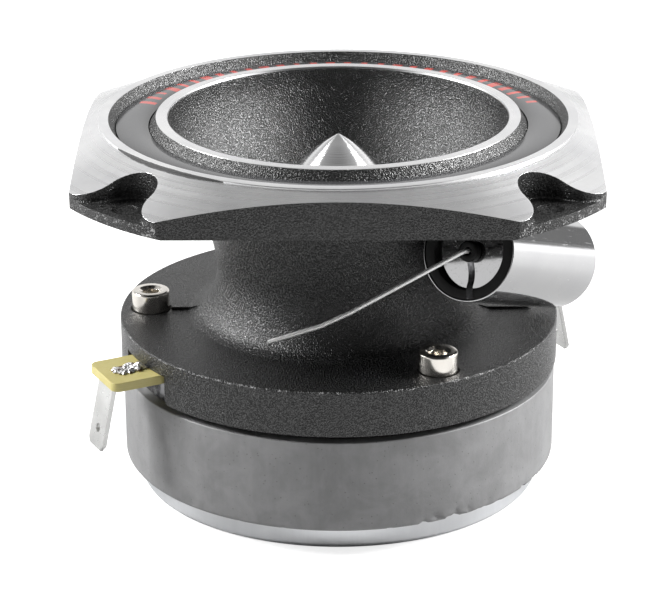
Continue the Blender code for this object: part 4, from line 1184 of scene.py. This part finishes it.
def floor():
    mesh = bpy.data.meshes.new("floor")
    size = 3.0
    mesh.from_pydata([(-size, -size, 0), (size, -size, 0), (size, size, 0), (-size, size, 0)], [], [(0, 1, 2, 3)])
    mesh.materials.append(LOOKS["studio_floor"])
    link(bpy.data.objects.new("floor", mesh))


def soft_box(name, place, target, size, power):
    lamp = bpy.data.lights.new(name, "AREA")
    lamp.shape = "RECTANGLE"
    lamp.size, lamp.size_y = size
    lamp.energy = power
    obj = link(bpy.data.objects.new(name, lamp))
    obj.location = place
    obj.rotation_euler = (Vector(place) - Vector(target)).to_track_quat("Z", "Y").to_euler()


def backdrop():
    """White to the camera; to the object, a tent of lit walls, dimmer above and dark where the camera is."""
    world = bpy.data.worlds.new("studio")
    bpy.context.scene.world = world
    world.use_nodes = True
    g = Graph(world.node_tree)
    g.tree.nodes.clear()
    x, y, z = g.node("SeparateXYZ", {0: g.node("TexCoord").outputs["Generated"]}).outputs
    front = g.larger(g.steps(y, -0.7, 0.1, 0.08, 1.0), g.steps(g.math("ABSOLUTE", x), 0.6, 0.85))
    above = g.steps(z, 0.3, 0.66, 1.0, 0.37)
    side = g.steps(x, 0.1, 0.9, 0.95, 1.3)
    # A dark band low on the right, which the can mirrors
    panel = g.larger(g.steps(z, 0.1, 0.16), g.steps(g.steps(x, 0.4, 0.5), 0.0, 1.0, 1.0, 0.22))
    white = (1.0, 1.0, 1.0, 1.0)
    strength = g.times(g.times(g.times(front, above), side), panel)
    lit = g.node("Background", {"Color": white, "Strength": strength}).outputs[0]
    plain = g.node("Background", {"Color": white, "Strength": 1.05}).outputs[0]
    seen = g.node("LightPath").outputs["Is Camera Ray"]
    mix = g.node("MixShader", {0: seen, 1: lit, 2: plain}).outputs[0]
    g.node("OutputWorld", {"Surface": mix})


def studio():
    backdrop()
    middle = (0.0, 0.0, 0.04)
    soft_box("left_box", (-0.75, 0.1, 0.53), middle, (0.36, 0.36), 13.0)
    soft_box("right_box", (0.75, 0.12, 0.53), middle, (0.3, 0.34), 16.0)
    bpy.context.scene.view_settings.view_transform = "Standard"


def camera():
    """The photograph's view: a long lens a little above the object, level but for a hair."""
    pitch, yaw, roll = (math.radians(turn) for turn in (CAMERA_PITCH, CAMERA_YAW, CAMERA_ROLL))
    ahead = Vector((math.sin(yaw) * math.cos(pitch), math.cos(yaw) * math.cos(pitch), -math.sin(pitch)))
    right = Vector((math.cos(yaw), -math.sin(yaw), 0.0))
    up = right.cross(ahead)
    tilted_right = math.cos(roll) * right + math.sin(roll) * up
    tilted_up = -math.sin(roll) * right + math.cos(roll) * up
    lens = bpy.data.cameras.new("camera")
    lens.sensor_width = 36.0
    lens.lens = CAMERA_LENS
    lens.clip_start, lens.clip_end = 0.02, 20.0
    obj = link(bpy.data.objects.new("camera", lens))
    turn = Matrix((tilted_right, tilted_up, -ahead)).transposed().to_4x4()
    obj.matrix_world = Matrix.Translation(CAMERA_PLACE * MM) @ turn
    bpy.context.scene.camera = obj


def write_sizes():
    bpy.context.view_layer.update()


horn_casting()
label_ring()
bullet()
cap_screws()
magnet()
rear_plate()
front_plate()
pole()
diaphragm()
carrier()
terminals()
capacitor()
leads()
dress_carried_over()
floor()
studio()
camera()
write_sizes()
